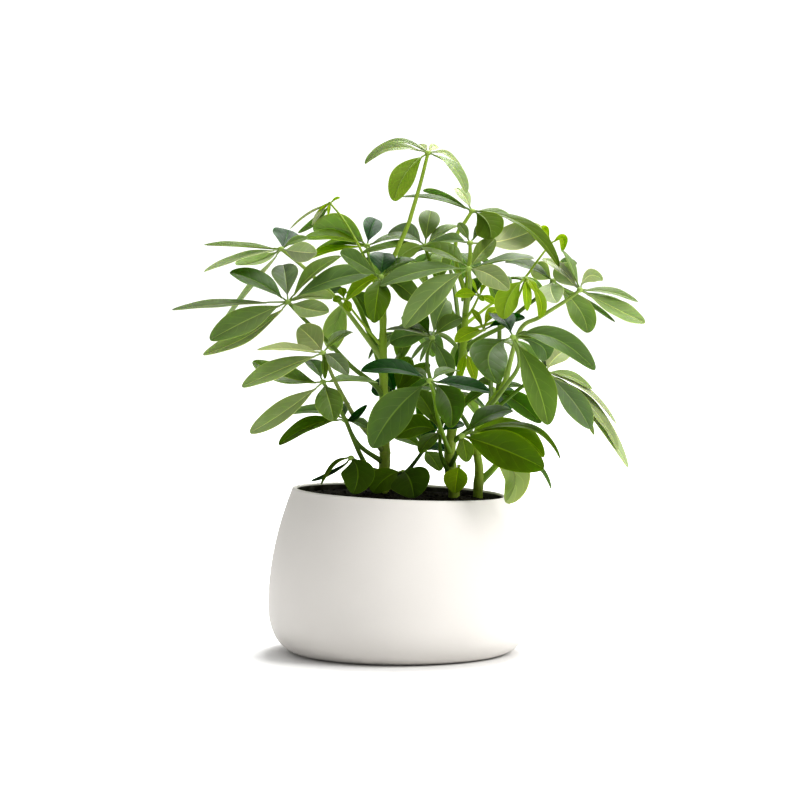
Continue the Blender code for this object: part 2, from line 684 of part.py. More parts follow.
def leaflet_way(start, middle, tip, share):
    control = middle * 2 - (start + tip) / 2
    return ((control - start) * (1 - share) + (tip - control) * share).normalized()


def face_direction(way, point, open_share):
    """The blade's normal, square to its way, so that the front view sees that share of its width."""
    to_eye = (EYE - point).normalized()
    flat = to_eye - way * to_eye.dot(way)
    most = max(flat.length, 1e-6)
    flat.normalize()
    other = way.cross(flat).normalized()
    if other.z < 0:
        other.negate()
    a = max(-1.0, min(1.0, open_share / most))
    return (flat * a + other * math.sqrt(1 - a * a)).normalized()


def leaflet_rings(item):
    """The cross sections of a leaflet: middle, way, normal, half width, half thickness and fold."""
    start, middle, tip, root = item["start"], item["middle"], item["tip"], item["root"]
    reach = (tip - start).length
    stations = BLADE_STATIONS if reach * (1 - root) > SMALL_BLADE else SMALL_BLADE_STATIONS
    foot = leaflet_path(start, middle, tip, root)
    way = (foot - start).normalized()
    normal = (item["normal"] - way * item["normal"].dot(way)).normalized()
    rings = [(0.0, start + way * ROOT_START, way, normal, ROOT_RADIUS, ROOT_RADIUS, 0.0),
             (root, foot, way, normal, ROOT_RADIUS, ROOT_RADIUS, 0.0)]
    for station in stations:
        share = root + (1 - root) * station
        way = leaflet_way(start, middle, tip, share)
        normal = (item["normal"] - way * item["normal"].dot(way)).normalized()
        half = max(item["width"] / 2 * blade_width_at(station), ROOT_RADIUS * 1.2)
        rings.append((share, leaflet_path(start, middle, tip, share), way, normal, half,
                      BLADE_THICKNESS / 2, BLADE_FOLD))
    return rings


def leaflet_solid(item, extra=0.0, inner=0.0):
    """The faceted blade on its little stalk. A wider one, or its outer part, is for clearance tests."""
    points, faces = [], []
    for share, at, way, normal, half, deep, fold in leaflet_rings(item):
        if share < inner:
            continue
        side = way.cross(normal)
        rise = normal * ((half + extra) * fold)
        points += [at - side * (half + extra) + rise, at + normal * (deep + extra),
                   at + side * (half + extra) + rise, at - normal * (deep + extra)]
    rings = len(points) // 4
    points.append(item["tip"] + way * extra)
    for i in range(rings - 1):
        a = i * 4
        left, top, right, low = a, a + 1, a + 2, a + 3
        if i == 0 and inner == 0.0:
            faces += [(left, left + 4, top + 4, top), (left, low, low + 4, left + 4),
                      (right, top, top + 4, right + 4), (right, right + 4, low + 4, low)]
            continue
        faces += [(left, top + 4, top), (left, left + 4, top + 4),
                  (left, low, low + 4), (left, low + 4, left + 4),
                  (right, top, top + 4), (right, top + 4, right + 4),
                  (right, low + 4, low), (right, right + 4, low + 4)]
    a = (rings - 1) * 4
    end = len(points) - 1
    faces += [(a, end, a + 1), (a + 1, end, a + 2), (a + 2, end, a + 3), (a + 3, end, a)]
    faces.append((0, 1, 2, 3))
    return points, faces


def tree_of(solid):
    points, faces = solid
    return BVHTree.FromPolygons([tuple(p) for p in points], faces)


def box_of(solid):
    points = solid[0]
    low = Vector([min(p[i] for p in points) for i in range(3)])
    high = Vector([max(p[i] for p in points) for i in range(3)])
    return low, high


def boxes_meet(a, b):
    return all(a[0][i] <= b[1][i] and b[0][i] <= a[1][i] for i in range(3))


class Clearings:
    """Everything already placed, so that the next piece can be bent clear of it."""

    def __init__(self):
        self.placed = []

    def add(self, owner, solid, outer=None):
        self.placed.append({"owner": owner, "tree": tree_of(solid), "box": box_of(solid),
                            "outer": tree_of(outer) if outer else None})

    def free(self, owner, solid, outer=None, skip=()):
        box = box_of(solid)
        tree = tree_of(solid)
        outer_tree = tree_of(outer) if outer else None
        for other in self.placed:
            if other["owner"] in skip or not boxes_meet(box, other["box"]):
                continue
            if other["owner"] == owner:
                if outer_tree and other["outer"] and outer_tree.overlap(other["outer"]):
                    return False
            elif tree.overlap(other["tree"]):
                return False
        return True


def grown_blade(plan, hub, length, shift, turn):
    """A leaflet of a leaf that the front view shows, with its tip moved in depth by a shift."""
    across, up = plan["tip"]
    flat = seen_at(across, up, hub.y) - hub
    wanted = length * plan["size"]
    depth = plan["turn"] * math.sqrt(max(wanted ** 2 - flat.length ** 2, 0.0))
    tip = seen_at(across, up, hub.y + depth + shift)
    if plan["mid"]:
        middle = seen_at(*plan["mid"], hub.y + (depth + shift) * MIDDLE_DEPTH)
    else:
        middle = (hub + tip) / 2 + Vector((0, 0, BLADE_ARCH * (tip - hub).length))
    reach = (tip - hub).length
    width = plan["wide"] or BLADE_WIDTH_SHARE * max(reach, wanted * 0.9) * (1 - plan["root"])
    width = max(width, abs(plan["seen"]))
    normal = face_direction(leaflet_way(hub, middle, tip, 0.5), middle, plan["seen"] * turn / width)
    return {"start": hub, "middle": middle, "tip": tip, "root": plan["root"], "width": width,
            "normal": normal}


def far_blade(hub, outward, length, angle, shift):
    """A leaflet of a leaf on the far side: it spreads from the hub and hangs at its tip."""
    way = Vector((math.cos(angle), math.sin(angle), 0))
    ahead = 0.82 + 0.18 * way.dot(outward)
    tip = hub + way * (length * ahead * 0.93) + Vector((0, 0, -length * FAR_DROOP + shift))
    middle = hub + way * (length * ahead * 0.5) + Vector((0, 0, length * 0.03 + shift * 0.4))
    width = BLADE_WIDTH_SHARE * length * 0.85
    return {"start": hub, "middle": middle, "tip": tip, "root": 0.17, "width": width,
            "normal": Vector((0, 0, 1))}


def stalk_route(joint, hub, route, shift):
    """From inside the stem, along the places that the front view shows, to the hub."""
    count = len(route) + 1
    points = [joint]
    for i, (across, up) in enumerate(route):
        share = (i + 1) / count
        depth = joint.y + (hub.y - joint.y) * share + shift * math.sin(math.pi * share)
        points.append(seen_at(across, up, depth))
    points.append(hub)
    if len(points) == 2:
        points.insert(1, (joint + hub) / 2 + Vector((0, shift, -(hub - joint).length * 0.08)))
    return smooth_route(points, steps_for(points))


def steps_for(points):
    length = sum((b - a).length for a, b in zip(points, points[1:]))
    return max(2, math.ceil(length / STALK_STEP))


def far_route(joint, hub, shift):
    flat = Vector((hub.x - joint.x, hub.y - joint.y, 0))
    side = Vector((-flat.y, flat.x, 0)).normalized()
    middle = joint + flat * 0.45 + Vector((0, 0, (hub.z - joint.z) * 0.62)) + side * shift
    points = [joint, middle, hub]
    return smooth_route(points, steps_for(points))


def slimness(plan):
    return YOUNG_SHARE if plan["length"] < YOUNG_LENGTH else plan.get("stout", 1.0)


def stalk_solid(route, slim, extra=0.0):
    steps = len(route) - 1
    radii = [(STALK_FOOT_RADIUS + (STALK_TOP_RADIUS - STALK_FOOT_RADIUS) * i / steps) * slim + extra
             for i in range(steps + 1)]
    return tube(route, radii, STALK_SIDES)


def far_plans():
    plans = []
    for name, stem, joint, (x, z, y), length, first in FAR_LEAVES:
        plans.append({"name": name, "stem": stem, "joint": joint, "hub_point": Vector((x, y, z)),
                      "length": length, "first": math.radians(first)})
    return plans


def outside_stem(route, stem_tree):
    """The part of a leaf stalk's route that is outside its stem."""
    fine = [a.lerp(b, k / 8) for a, b in zip(route, route[1:]) for k in range(8)]
    for i, point in enumerate(fine):
        nearest, normal, _, distance = stem_tree.find_nearest(point)
        if (point - nearest).dot(normal) > 0 and distance > GAP:
            after = i // 8 + 1
            return [point] + route[after:] if i % 8 else route[after - 1:]
    return route[-2:]


def place_stalks(plans, clearings, stem_trees):
    """Every leaf's stalk and hub, each bent clear of the stems and the stalks before it."""
    for plan in plans:
        joint = stem_point(plan["stem"], plan["joint"])
        far = "hub_point" in plan
        slim = slimness(plan)
        hub = plan["hub_point"] if far else seen_at(*plan["hub"])
        for shift in SHIFTS:
            if far:
                route = far_route(joint, hub, shift)
            else:
                route = stalk_route(joint, hub, plan["route"], shift)
            free_part = outside_stem(route, stem_trees[plan["stem"]])
            test = stalk_solid(free_part, slim, CLEARANCE)
            if clearings.free(plan["name"], test, skip=(plan["stem"],)):
                break
        plan["point"] = hub
        plan["stalk"] = stalk_solid(route, slim)
        plan["knob"] = knob(hub, HUB_RADIUS * slim)
        clearings.add(plan["name"], stalk_solid(free_part, slim))
        clearings.add(plan["name"], plan["knob"])


def place_blade(plan, clearings, options):
    """The first of the options that is clear of everything placed before it."""
    for option in options:
        test = leaflet_solid(option, CLEARANCE)
        outer = leaflet_solid(option, CLEARANCE * 0.3, FOOT_SHARE)
        if clearings.free(plan["name"], test, outer):
            clearings.add(plan["name"], leaflet_solid(option), leaflet_solid(option, 0.0, FOOT_SHARE))
            return option
    return None


def place_blades(plans, clearings):
    """Every leaflet that finds room, in the order of the lists."""
    for plan in plans:
        options = []
        if "hub_point" in plan:
            outward = Vector((plan["point"].x, plan["point"].y, 0)).normalized()
            for k in range(FAR_BLADES):
                angle = plan["first"] + math.tau * k / FAR_BLADES
                options.append([far_blade(plan["point"], outward, plan["length"], angle + bend, shift)
                                for shift in SHIFTS for bend in FAR_BENDS])
        else:
            for piece in plan["blades"]:
                options.append([grown_blade(piece, plan["point"], plan["length"], shift, turn)
                                for turn in TURNS for shift in SHIFTS])
        found = [place_blade(plan, clearings, choice) for choice in options]
        plan["leaflets"] = [item for item in found if item]


def make_leaf(plan, cutter):
    solids = [plan["stalk"], plan["knob"]]
    solids += [leaflet_solid(item) for item in plan["leaflets"]]
    item = joined(plan["name"], solids, [cutter])
    colour = YOUNG_GREEN if plan["name"].startswith("young") else LEAF_GREEN
    item.data.materials.append(make_material(plan["name"] + "_green", colour, 0.35))


def main():
    clear_scene()
    make_pot()
    clearings = Clearings()
    holes, cutters, stem_trees = [], {}, {}
    for name in STEMS:
        line = stem_line(name)
        solid = widened(line, 0.0)
        item = add_object(name, *solid)
        item.data.materials.append(make_material(name + "_bark", BARK, 0.6))
        clearings.add(name, solid)
        stem_trees[name] = tree_of(solid)
        cutters[name] = add_object(name + "_room", *widened(line, GAP))
        holes.append(add_object(name + "_hole", *widened(line, GAP, GAP)))
    make_soil(holes)
    plans = LEAVES + far_plans()
    place_stalks(plans, clearings, stem_trees)
    place_blades(plans, clearings)
    for plan in plans:
        make_leaf(plan, cutters[plan["stem"]])
    for helper in holes + list(cutters.values()):
        drop(helper)


main()
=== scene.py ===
import math

import bpy
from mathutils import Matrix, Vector, noise
from mathutils.bvhtree import BVHTree


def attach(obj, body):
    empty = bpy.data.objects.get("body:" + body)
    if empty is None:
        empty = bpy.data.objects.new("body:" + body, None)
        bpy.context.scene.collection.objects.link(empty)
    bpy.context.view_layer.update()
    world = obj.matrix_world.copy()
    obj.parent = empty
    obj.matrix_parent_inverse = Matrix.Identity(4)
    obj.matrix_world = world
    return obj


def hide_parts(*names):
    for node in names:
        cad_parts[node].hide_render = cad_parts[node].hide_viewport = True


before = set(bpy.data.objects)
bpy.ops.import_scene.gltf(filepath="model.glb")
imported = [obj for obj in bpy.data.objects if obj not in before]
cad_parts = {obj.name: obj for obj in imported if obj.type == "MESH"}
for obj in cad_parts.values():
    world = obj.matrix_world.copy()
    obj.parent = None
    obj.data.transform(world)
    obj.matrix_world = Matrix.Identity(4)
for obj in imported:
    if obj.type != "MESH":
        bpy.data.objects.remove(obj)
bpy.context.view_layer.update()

# A potted dwarf umbrella plant. Sizes are in millimetres until a mesh is made; the front faces -Y.
mm = 0.001  # in metres
gap = 0.3  # left between the soil and the pot, and between a stem and where its stalks are tested

# Camera first: the leaves below are placed as it sees them

camera = {"place": (0.0, -2800.0, 382.3), "aim": (0.0, 0.0, 252.3), "aimUp": 250.0, "viewWidth": 800.0,
          "sensor": 36.0}
eye, aim = Vector(camera["place"]), Vector(camera["aim"])


def seenAt(across, up, depth):
    # the point at a depth that the front view shows at (across, up)
    forward = aim - eye
    reach = forward.length
    forward.normalize()
    right = Vector((1.0, 0.0, 0.0))
    lift = right.cross(forward)
    ray = forward * reach + right * across + lift * (up - camera["aimUp"])
    return eye + ray * ((depth - eye.y) / ray.y)


def makeCamera():
    data = bpy.data.cameras.new("frontCamera")
    data.sensor_width = camera["sensor"]
    data.lens = camera["sensor"] * (aim - eye).length / camera["viewWidth"]
    data.clip_start, data.clip_end = 0.05, 100
    item = bpy.data.objects.new("frontCamera", data)
    item.location = eye * mm
    item.rotation_euler = (aim - eye).to_track_quat("-Z", "Y").to_euler()
    bpy.context.scene.collection.objects.link(item)
    bpy.context.scene.camera = item


makeCamera()
print("camera set")

# The plant's plan: stems, then each compound leaf with its leaflets


def blade(across, up, turn, seen, mid=None, root=0.15, size=1.0, wide=None, curl=0.0):
    # a leaflet: its tip, how far it turns to the back (-1 to 1), width that shows (underside negative),
    # a place halfway, where the blade starts, its share of the leaf's length, its full width, and its roll
    return {"tip": (across, up), "turn": turn, "seen": seen, "mid": mid, "root": root, "size": size,
            "wide": wide, "curl": curl}


def leaf(name, stalkTint, tints, stem, joint, hub, length, route, blades, stout=1.0):
    # a compound leaf: its stalk's tint, a letter of leafTints for each leaflet, its stem, the height of
    # its joint, its hub, its leaflets' length, the stalk's route, its leaflets, and how stout the stalk is
    return {"name": name, "stalkTint": stalkTint, "tints": tints, "stem": stem, "joint": joint, "hub": hub,
            "length": length, "route": route, "blades": blades, "stout": stout}


# Each stem: places (across, up, depth) from foot to top, and the radius at both ends
stemPlaces = {
    "stem_left": ([(-17, 160, 14), (-15, 200, 12), (-16, 250, 8), (-17, 300, 4), (-17, 350, 2),
                   (-19, 371, 0)], 5.4, 2.8),
    "stem_centre": ([(54, 158, 8), (50, 192, 8), (52, 222, 8), (55, 250, 8), (62, 290, 6),
                     (65, 330, 5), (68, 378, 4)], 5.8, 2.1),
    "stem_right": ([(78, 158, 32), (79, 182, 32), (76, 212, 30), (86, 240, 28), (101, 262, 24),
                    (108, 276, 20)], 5.0, 1.9),
}

leafPlans = [
    leaf("leaf_centre_top", "pale", "gsofbp", "stem_centre", 338, (69, 381, -46), 88, [(70, 362)], [
        blade(-20, 364, -0.2, 16, mid=(24, 379)),
        blade(4, 322, -0.6, 27, mid=(35, 358)),
        blade(23, 403, 0.5, 14),
        blade(95, 411, 0.6, 14, mid=(81, 397), wide=18),
        blade(134, 391, -0.2, 6, mid=(103, 390)),
        blade(109, 360, -0.7, 17, size=0.8),
    ]),
    leaf("leaf_right_front", "green", "dfmmnk", "stem_right", 238, (113, 313, -86), 93,
         [(104, 262), (119, 286)], [
        blade(98, 266, -0.9, 38, mid=(89, 296)),
        blade(148, 225, -0.4, 30, mid=(135, 271)),
        blade(195, 280, -0.2, 21, mid=(153, 312)),
        blade(146, 290, 0.6, 14, mid=(140, 305), root=0.25, wide=22),
        blade(134, 307, 0.9, 4, size=0.6, wide=10),
        blade(94, 336, 0.9, 8, size=0.8),
    ]),
    leaf("leaf_centre_front", "olive", "kmkddg", "stem_centre", 196, (30, 269, -98), 92,
         [(44, 212), (38, 232), (34, 255)], [
        blade(-39, 279, 0.2, 15, mid=(-4, 281)),
        blade(-28, 202, -0.5, 37, mid=(-3, 241)),
        blade(90, 258, 0.2, 13, mid=(61, 265)),
        blade(51, 222, -0.8, 28, mid=(49, 250), wide=29),
        blade(2, 279, 0.7, 4, size=0.7, wide=18),
        blade(58, 279, 0.7, 5, size=0.7, wide=18),
    ]),
    leaf("leaf_far_left", "mid", "bgpdbfgps", "stem_left", 252, (-112, 348, -30), 100,
         [(-25, 265), (-48, 283), (-70, 306), (-97, 332)], [
        blade(-228, 340, 0.1, 8, mid=(-170, 346), root=0.28, wide=22),
        blade(-190, 310, -0.3, 25, mid=(-152, 330)),
        blade(-197, 295, 0.2, 15, mid=(-147, 317)),
        blade(-170, 378, 0.3, 17, mid=(-141, 367)),
        blade(-117, 385, 0.9, 26, size=0.8),
        blade(-59, 394, 0.4, 12),
        blade(-28, 377, -0.1, 20, mid=(-70, 369)),
        blade(-68, 351, 0.5, -8, size=0.7),
        blade(-71, 338, -0.8, 13, mid=(-93, 341), size=0.7),
    ]),
    leaf("leaf_low_front", "dark", "nvnpmdo", "stem_centre", 184, (62, 214, -96), 100, [(58, 200)], [
        blade(144, 182, -0.5, 36, mid=(102, 201), root=0.08),
        blade(144, 193, 0.3, 22, mid=(108, 219)),
        blade(160, 191, 0.6, 6, mid=(125, 223), wide=16),
        blade(106, 147, -0.3, -26, mid=(111, 184)),
        blade(151, 161, 0.2, 5, mid=(122, 196), wide=14),
        blade(112, 240, 0.7, 14, size=0.8),
        blade(67, 188, 0.4, 14, size=0.6, wide=17),
    ]),
    leaf("leaf_lower_left", "mid", "fpfgm", "stem_left", 177, (-77, 268, -56), 84,
         [(-31, 182), (-39, 194), (-47, 212), (-55, 231), (-66, 250)], [
        blade(-66, 229, -0.9, 26, mid=(-71, 250)),
        blade(-150, 217, -0.2, 20, mid=(-113, 240)),
        blade(-147, 289, 0.9, 16, mid=(-112, 272)),
        blade(-22, 267, 0.4, 5, mid=(-50, 270)),
        blade(-92, 290, 0.95, 8, size=0.6),
    ]),
    leaf("leaf_crown", "lime", "vgssppp", "stem_left", 366, (28, 497, -8), 80,
         [(-4, 398), (8, 425), (12, 438), (20, 465)], [
        blade(-6, 449, -0.8, -22, mid=(6, 477), wide=24),
        blade(-28, 499, 0.6, 3, mid=(0, 509), wide=12),
        blade(-35, 486, 0.2, 9, mid=(-8, 502), wide=20),
        blade(66, 457, -0.5, 8, mid=(52, 484), wide=20),
        blade(67, 464, 0.5, 4, mid=(51, 493), wide=12),
        blade(18, 505, 0.95, 3, size=0.35, wide=9),
        blade(38, 503, 0.95, 3, size=0.4, wide=9),
    ]),
    leaf("leaf_upper_left", "pale", "fwwpkgw", "stem_left", 290, (-119, 401, 5), 88,
         [(-54, 340), (-69, 357), (-84, 371), (-100, 386)], [
        blade(-196, 405, 0.1, 5, mid=(-156, 404), wide=20),
        blade(-196, 378, -0.1, 7, mid=(-156, 393), wide=22),
        blade(-179, 325, -0.2, 6, mid=(-146, 366), wide=18),
        blade(-164, 385, 0.6, -10, mid=(-141, 390), size=0.9),
        blade(-112, 420, 0.8, 27, mid=(-114, 411), size=0.6, wide=30),
        blade(-92, 412, 0.8, 7, size=0.3),
        blade(-83, 397, -0.9, 13, mid=(-100, 398), size=0.7),
    ]),
    leaf("leaf_left_top", "dark", "nmkdyf", "stem_left", 352, (-19, 373, -30), 80, [(-18, 365)], [
        blade(-26, 327, -0.8, 26),
        blade(-60, 397, -0.2, 14, mid=(-41, 386)),
        blade(-16, 397, 0.8, 18),
        blade(16, 390, 0.5, 9),
        blade(-54, 350, 0.3, 12),
        blade(20, 346, 0.2, 20),
    ]),
    leaf("leaf_far_right", "pale", "sggwwpg", "stem_right", 272, (180, 360, -12), 80,
         [(120, 320), (140, 333), (167, 350)], [
        blade(245, 327, -0.2, 17, mid=(214, 342)),
        blade(238, 348, 0.2, 7, mid=(209, 358), wide=18),
        blade(162, 400, 0.5, 5, wide=14),
        blade(160, 386, 0.5, 20, mid=(166, 374), wide=23),
        blade(142, 391, 0.9, 7, wide=12),
        blade(203, 370, 0.9, 10, mid=(189, 374), size=0.5),
        blade(240, 334, 0.5, 7, mid=(211, 348), wide=18),
    ]),
    leaf("leaf_lower_right", "dark", "bpwwssnp", "stem_centre", 207, (145, 278, -38), 94,
         [(75, 225), (100, 245), (123, 264)], [
        blade(190, 221, -0.5, 22, mid=(172, 250), wide=26),
        blade(218, 200, 0.1, 10, mid=(189, 245), wide=24),
        blade(228, 182, -0.1, 12, mid=(192, 237), wide=26),
        blade(216, 226, 0.4, 5, mid=(184, 261), wide=18),
        blade(192, 261, 0.3, 8, size=0.7, wide=16),
        blade(194, 215, 0.5, 10, mid=(170, 255), wide=22),
        blade(150, 300, 0.95, 8, size=0.7),
        blade(166, 299, 0.6, 14, size=0.8),
    ]),
    leaf("leaf_left", "grey", "sppobn", "stem_left", 197, (-77, 297, -84), 86,
         [(-43, 230), (-55, 250), (-67, 273)], [
        blade(-158, 263, -0.1, 18, mid=(-118, 281)),
        blade(-143, 300, 0.4, 7, mid=(-110, 301)),
        blade(-101, 323, 0.6, 22, mid=(-86, 309), wide=28),
        blade(-48, 318, 0.6, 6, wide=14),
        blade(-52, 275, -0.7, 12, size=0.6),
        blade(-75, 271, -0.8, -6, size=0.35),
    ]),
    leaf("leaf_centre_lime", "lime", "wggd", "stem_centre", 374, (70, 407, -10), 84, [(70, 392)], [
        blade(141, 424, -0.3, 24, mid=(106, 410), root=0.3, wide=29),
        blade(28, 404, 0.3, 9),
        blade(58, 427, 0.4, 9, size=0.35),
        blade(96, 428, 0.9, 7, size=0.6),
    ]),
    leaf("leaf_crown_right", "lime", "nogmgp", "stem_centre", 354, (72, 439, 15), 84,
         [(56, 388), (57, 415), (65, 428)], [
        blade(91, 411, -0.6, -28, mid=(87, 428), size=0.8, wide=31),
        blade(159, 383, -0.2, 11, mid=(123, 425), root=0.25, wide=26),
        blade(121, 422, 0.3, 6, mid=(99, 436), wide=18),
        blade(2, 453, 0.3, 4, mid=(38, 451), wide=16),
        blade(23, 459, 0.6, -5, mid=(47, 452), wide=16),
        blade(56, 462, 0.9, 8, size=0.5),
    ]),
    leaf("leaf_behind_crown", "olive", "fbnfgm", "stem_centre", 314, (25, 404, 24), 78,
         [(61, 322), (45, 350), (30, 388)], [
        blade(31, 439, 0.6, 17, wide=22),
        blade(-12, 416, 0.4, 14, mid=(6, 417)),
        blade(-39, 396, 0.0, 7, mid=(-4, 404)),
        blade(-2, 392, -0.8, -15, size=0.6),
        blade(58, 424, 0.4, 8, size=0.8),
        blade(54, 413, 0.9, 5, size=0.6),
    ]),
    leaf("leaf_back_left", "green", "svvkyn", "stem_left", 330, (-33, 404, 55), 76,
         [(-22, 360), (-30, 390)], [
        blade(-87, 420, -0.3, -27, mid=(-59, 421), root=0.08, wide=29),
        blade(-95, 411, 0.3, 10),
        blade(-84, 400, 0.1, 7),
        blade(-24, 431, 0.8, 13, size=0.8),
        blade(-100, 388, -0.3, 7, mid=(-68, 400), wide=18),
        blade(15, 410, 0.6, 5, wide=14),
    ]),
    leaf("leaf_dark_left", "mid", "ngkmm", "stem_left", 187, (-55, 230, -24), 78, [(-41, 205)], [
        blade(-121, 205, -0.2, 14, mid=(-88, 225)),
        blade(-117, 235, 0.3, 9, mid=(-80, 239), wide=20),
        blade(-33, 245, -0.3, 7, mid=(-45, 233), size=0.6, wide=10),
        blade(-31, 221, -0.6, 8, size=0.7),
        blade(-60, 244, 0.9, 10, size=0.7),
    ]),
    leaf("leaf_over_rim", "black", "nkd", "stem_left", 170, (-49, 192, -62), 60, [(-36, 184)], [
        blade(-79, 165, -0.2, 4, mid=(-64, 187), root=0.2, wide=9),
        blade(-89, 169, 0.1, 4, mid=(-68, 177), wide=9),
        blade(-47, 156, -0.5, 30, mid=(-42, 177), root=0.08, wide=33),
    ]),
    leaf("leaf_soil_front", "black", "nd", "stem_left", 163, (3, 179, -50), 46, [(-8, 172)], [
        blade(-27, 157, -0.4, 23, mid=(-14, 172), wide=26),
        blade(14, 152, -0.6, 38, mid=(10, 170), root=0.08, wide=41),
    ]),
    leaf("leaf_heart", "mid", "gmggdbsf", "stem_centre", 224, (32, 312, -30), 76,
         [(44, 240), (33, 262), (27, 290)], [
        blade(-10, 308, 0.6, 18),
        blade(50, 273, -0.6, 14, mid=(44, 291), wide=18),
        blade(11, 290, -0.3, 4, size=0.5, wide=5),
        blade(20, 288, -0.5, 4, size=0.5, wide=5),
        blade(4, 335, 0.5, 16),
        blade(-14, 320, 0.3, 5, wide=12),
        blade(47, 350, 0.7, 18, wide=22),
        blade(62, 332, 0.4, 14, wide=18),
    ]),
    leaf("leaf_behind_right", "mid", "dpwsdm", "stem_centre", 300, (153, 369, 26), 74,
         [(80, 312), (105, 325), (120, 339), (143, 357)], [
        blade(105, 388, 0.1, 9, mid=(130, 383)),
        blade(132, 384, 0.7, 15, mid=(143, 377), size=0.7, wide=20),
        blade(157, 347, -0.8, 25, mid=(151, 359), size=0.7, wide=27),
        blade(187, 317, -0.5, 24, mid=(179, 341), wide=27),
        blade(215, 328, -0.4, 5, mid=(187, 347), wide=14),
        blade(176, 388, 0.9, 6, wide=14),
    ]),
    leaf("leaf_mid_left", "olive", "pmdn", "stem_left", 272, (-49, 357, 36), 68,
         [(-25, 302), (-33, 323), (-41, 343)], [
        blade(-67, 299, -0.3, -24, mid=(-64, 326)),
        blade(-88, 350, 0.6, 6),
        blade(-34, 392, 0.8, 10),
        blade(-26, 330, 0.6, 12),
    ], stout=1.3),
    leaf("young_leaf_right", "lime", "lyll", "stem_centre", 318, (126, 372, -44), 48,
         [(103, 332), (115, 346)], [
        blade(104, 331, -0.3, -22, mid=(109, 354), wide=24),
        blade(127, 339, -0.5, 8, wide=10),
        blade(136, 358, -0.6, 6, size=0.5, wide=8),
        blade(139, 332, -0.3, 10, mid=(140, 351), wide=12),
    ]),
    leaf("leaf_low_back", "black", "nkkod", "stem_left", 167, (24, 200, 44), 58, [(5, 177)], [
        blade(-8, 215, 0.3, 12),
        blade(38, 233, 0.5, 12),
        blade(52, 198, 0.3, 8),
        blade(40, 179, -0.3, 15, wide=21),
        blade(14, 228, 0.8, 10),
    ]),
    leaf("leaf_behind_front", "dark", "nondk", "stem_centre", 170, (40, 218, -12), 66, [(41, 195)], [
        blade(-4, 213, 0.2, 22, mid=(18, 223), wide=28),
        blade(16, 259, 0.3, 22, wide=28),
        blade(20, 197, -0.5, 10, wide=18),
        blade(54, 254, 0.8, 12),
        blade(64, 226, 0.9, 10, size=0.8),
    ]),
    leaf("leaf_inner", "black", "knnkd", "stem_left", 236, (-4, 252, 34), 58, [(-10, 246)], [
        blade(-18, 288, 0.3, 17),
        blade(10, 293, 0.4, 19),
        blade(30, 286, 0.2, 15),
        blade(-28, 262, 0.4, 12),
        blade(36, 264, 0.5, 14),
    ]),
    leaf("leaf_right_back", "olive", "dnook", "stem_right", 167, (92, 260, 62), 74,
         [(93, 181), (103, 196), (102, 228)], [
        blade(141, 227, -0.1, 20),
        blade(126, 262, 0.4, 5, wide=14),
        blade(84, 273, 0.9, 8, size=0.8),
        blade(60, 240, 0.6, 8),
        blade(110, 240, 0.9, 12),
    ], stout=1.35),
    leaf("young_leaf_left", "lime", "yywypg", "stem_left", 343, (-70, 447, 62), 44,
         [(-25, 368), (-40, 402), (-57, 431)], [
        blade(-72, 434, -0.6, 4, size=0.5, wide=5, curl=1.4),
        blade(-82, 438, -0.4, 4, size=0.5, wide=4, curl=1.4),
        blade(-88, 425, -0.2, 5, mid=(-79, 439), wide=6),
        blade(-60, 452, 0.4, 5, size=0.4, wide=6, curl=2.2),
        blade(-110, 421, 0.0, 2, mid=(-91, 437), wide=4),
        blade(-102, 417, -0.1, 7, mid=(-82, 431), wide=9),
    ]),
    leaf("young_leaf_centre", "lime", "yyyyl", "stem_centre", 331, (79, 354, -16), 24, [], [
        blade(55, 354, -0.3, 7, wide=10),
        blade(95, 346, -0.3, 7, wide=9),
        blade(84, 349, -0.6, 5, size=0.8, wide=6),
        blade(67, 374, 0.3, 4, wide=6),
        blade(87, 367, 0.3, 4, wide=6),
    ]),
    leaf("young_leaf_heart", "lime", "lkly", "stem_centre", 308, (84, 320, -36), 36, [(74, 314)], [
        blade(55, 308, -0.4, 13, wide=16),
        blade(125, 332, 0.2, 10, mid=(105, 330), wide=12),
        blade(71, 341, 0.2, 6, wide=8),
        blade(101, 338, 0.1, 9, mid=(90, 336), wide=11),
    ]),
    leaf("young_leaf_stem", "lime", "ly", "stem_centre", 284, (66, 297, -20), 28, [], [
        blade(75, 269, -0.2, 11, wide=13),
        blade(60, 272, -0.5, 8, wide=10),
    ]),
    leaf("young_leaf_branch", "lime", "vlv", "stem_left", 302, (-56, 351, -12), 18, [(-40, 330)], [
        blade(-59, 362, 0.3, 9, wide=9),
        blade(-50, 338, -0.3, 9, wide=9),
        blade(-67, 349, -0.3, 7, wide=8),
    ]),
    leaf("young_leaf_top_right", "lime", "yy", "stem_centre", 325, (150, 406, 34), 24,
         [(90, 345), (120, 367), (138, 390)], [
        blade(137, 411, 0.3, 8, mid=(145, 420), wide=10, curl=1.3),
        blade(162, 398, -0.3, 10, mid=(162, 411), wide=12, curl=1.3),
    ]),
    leaf("young_leaf_foot", "lime", "y", "stem_centre", 176, (59, 184, -20), 32, [], [
        blade(55, 157, -0.4, 24, mid=(57, 173), root=0.08, wide=26),
    ]),
]

# Leaves on the far side: stem, joint height, hub (x, z, y), length, first angle
farTints = ("mfmdmf", "fmmdfm")
farPlans = [
    ("far_leaf_1", "stem_left", 312, (-14, 386, 102), 64, 40),
    ("far_leaf_2", "stem_centre", 290, (50, 394, 128), 66, 15),
    ("far_leaf_3", "stem_right", 259, (104, 370, 112), 62, 30),
    ("far_leaf_4", "stem_left", 226, (14, 312, 120), 66, 10),
    ("far_leaf_5", "stem_right", 248, (92, 304, 122), 66, 25),
    ("far_leaf_6", "stem_right", 208, (44, 250, 116), 62, 50),
]

# Growth: the same rules and numbers as the solids, so that every finer leaf lies on its solid

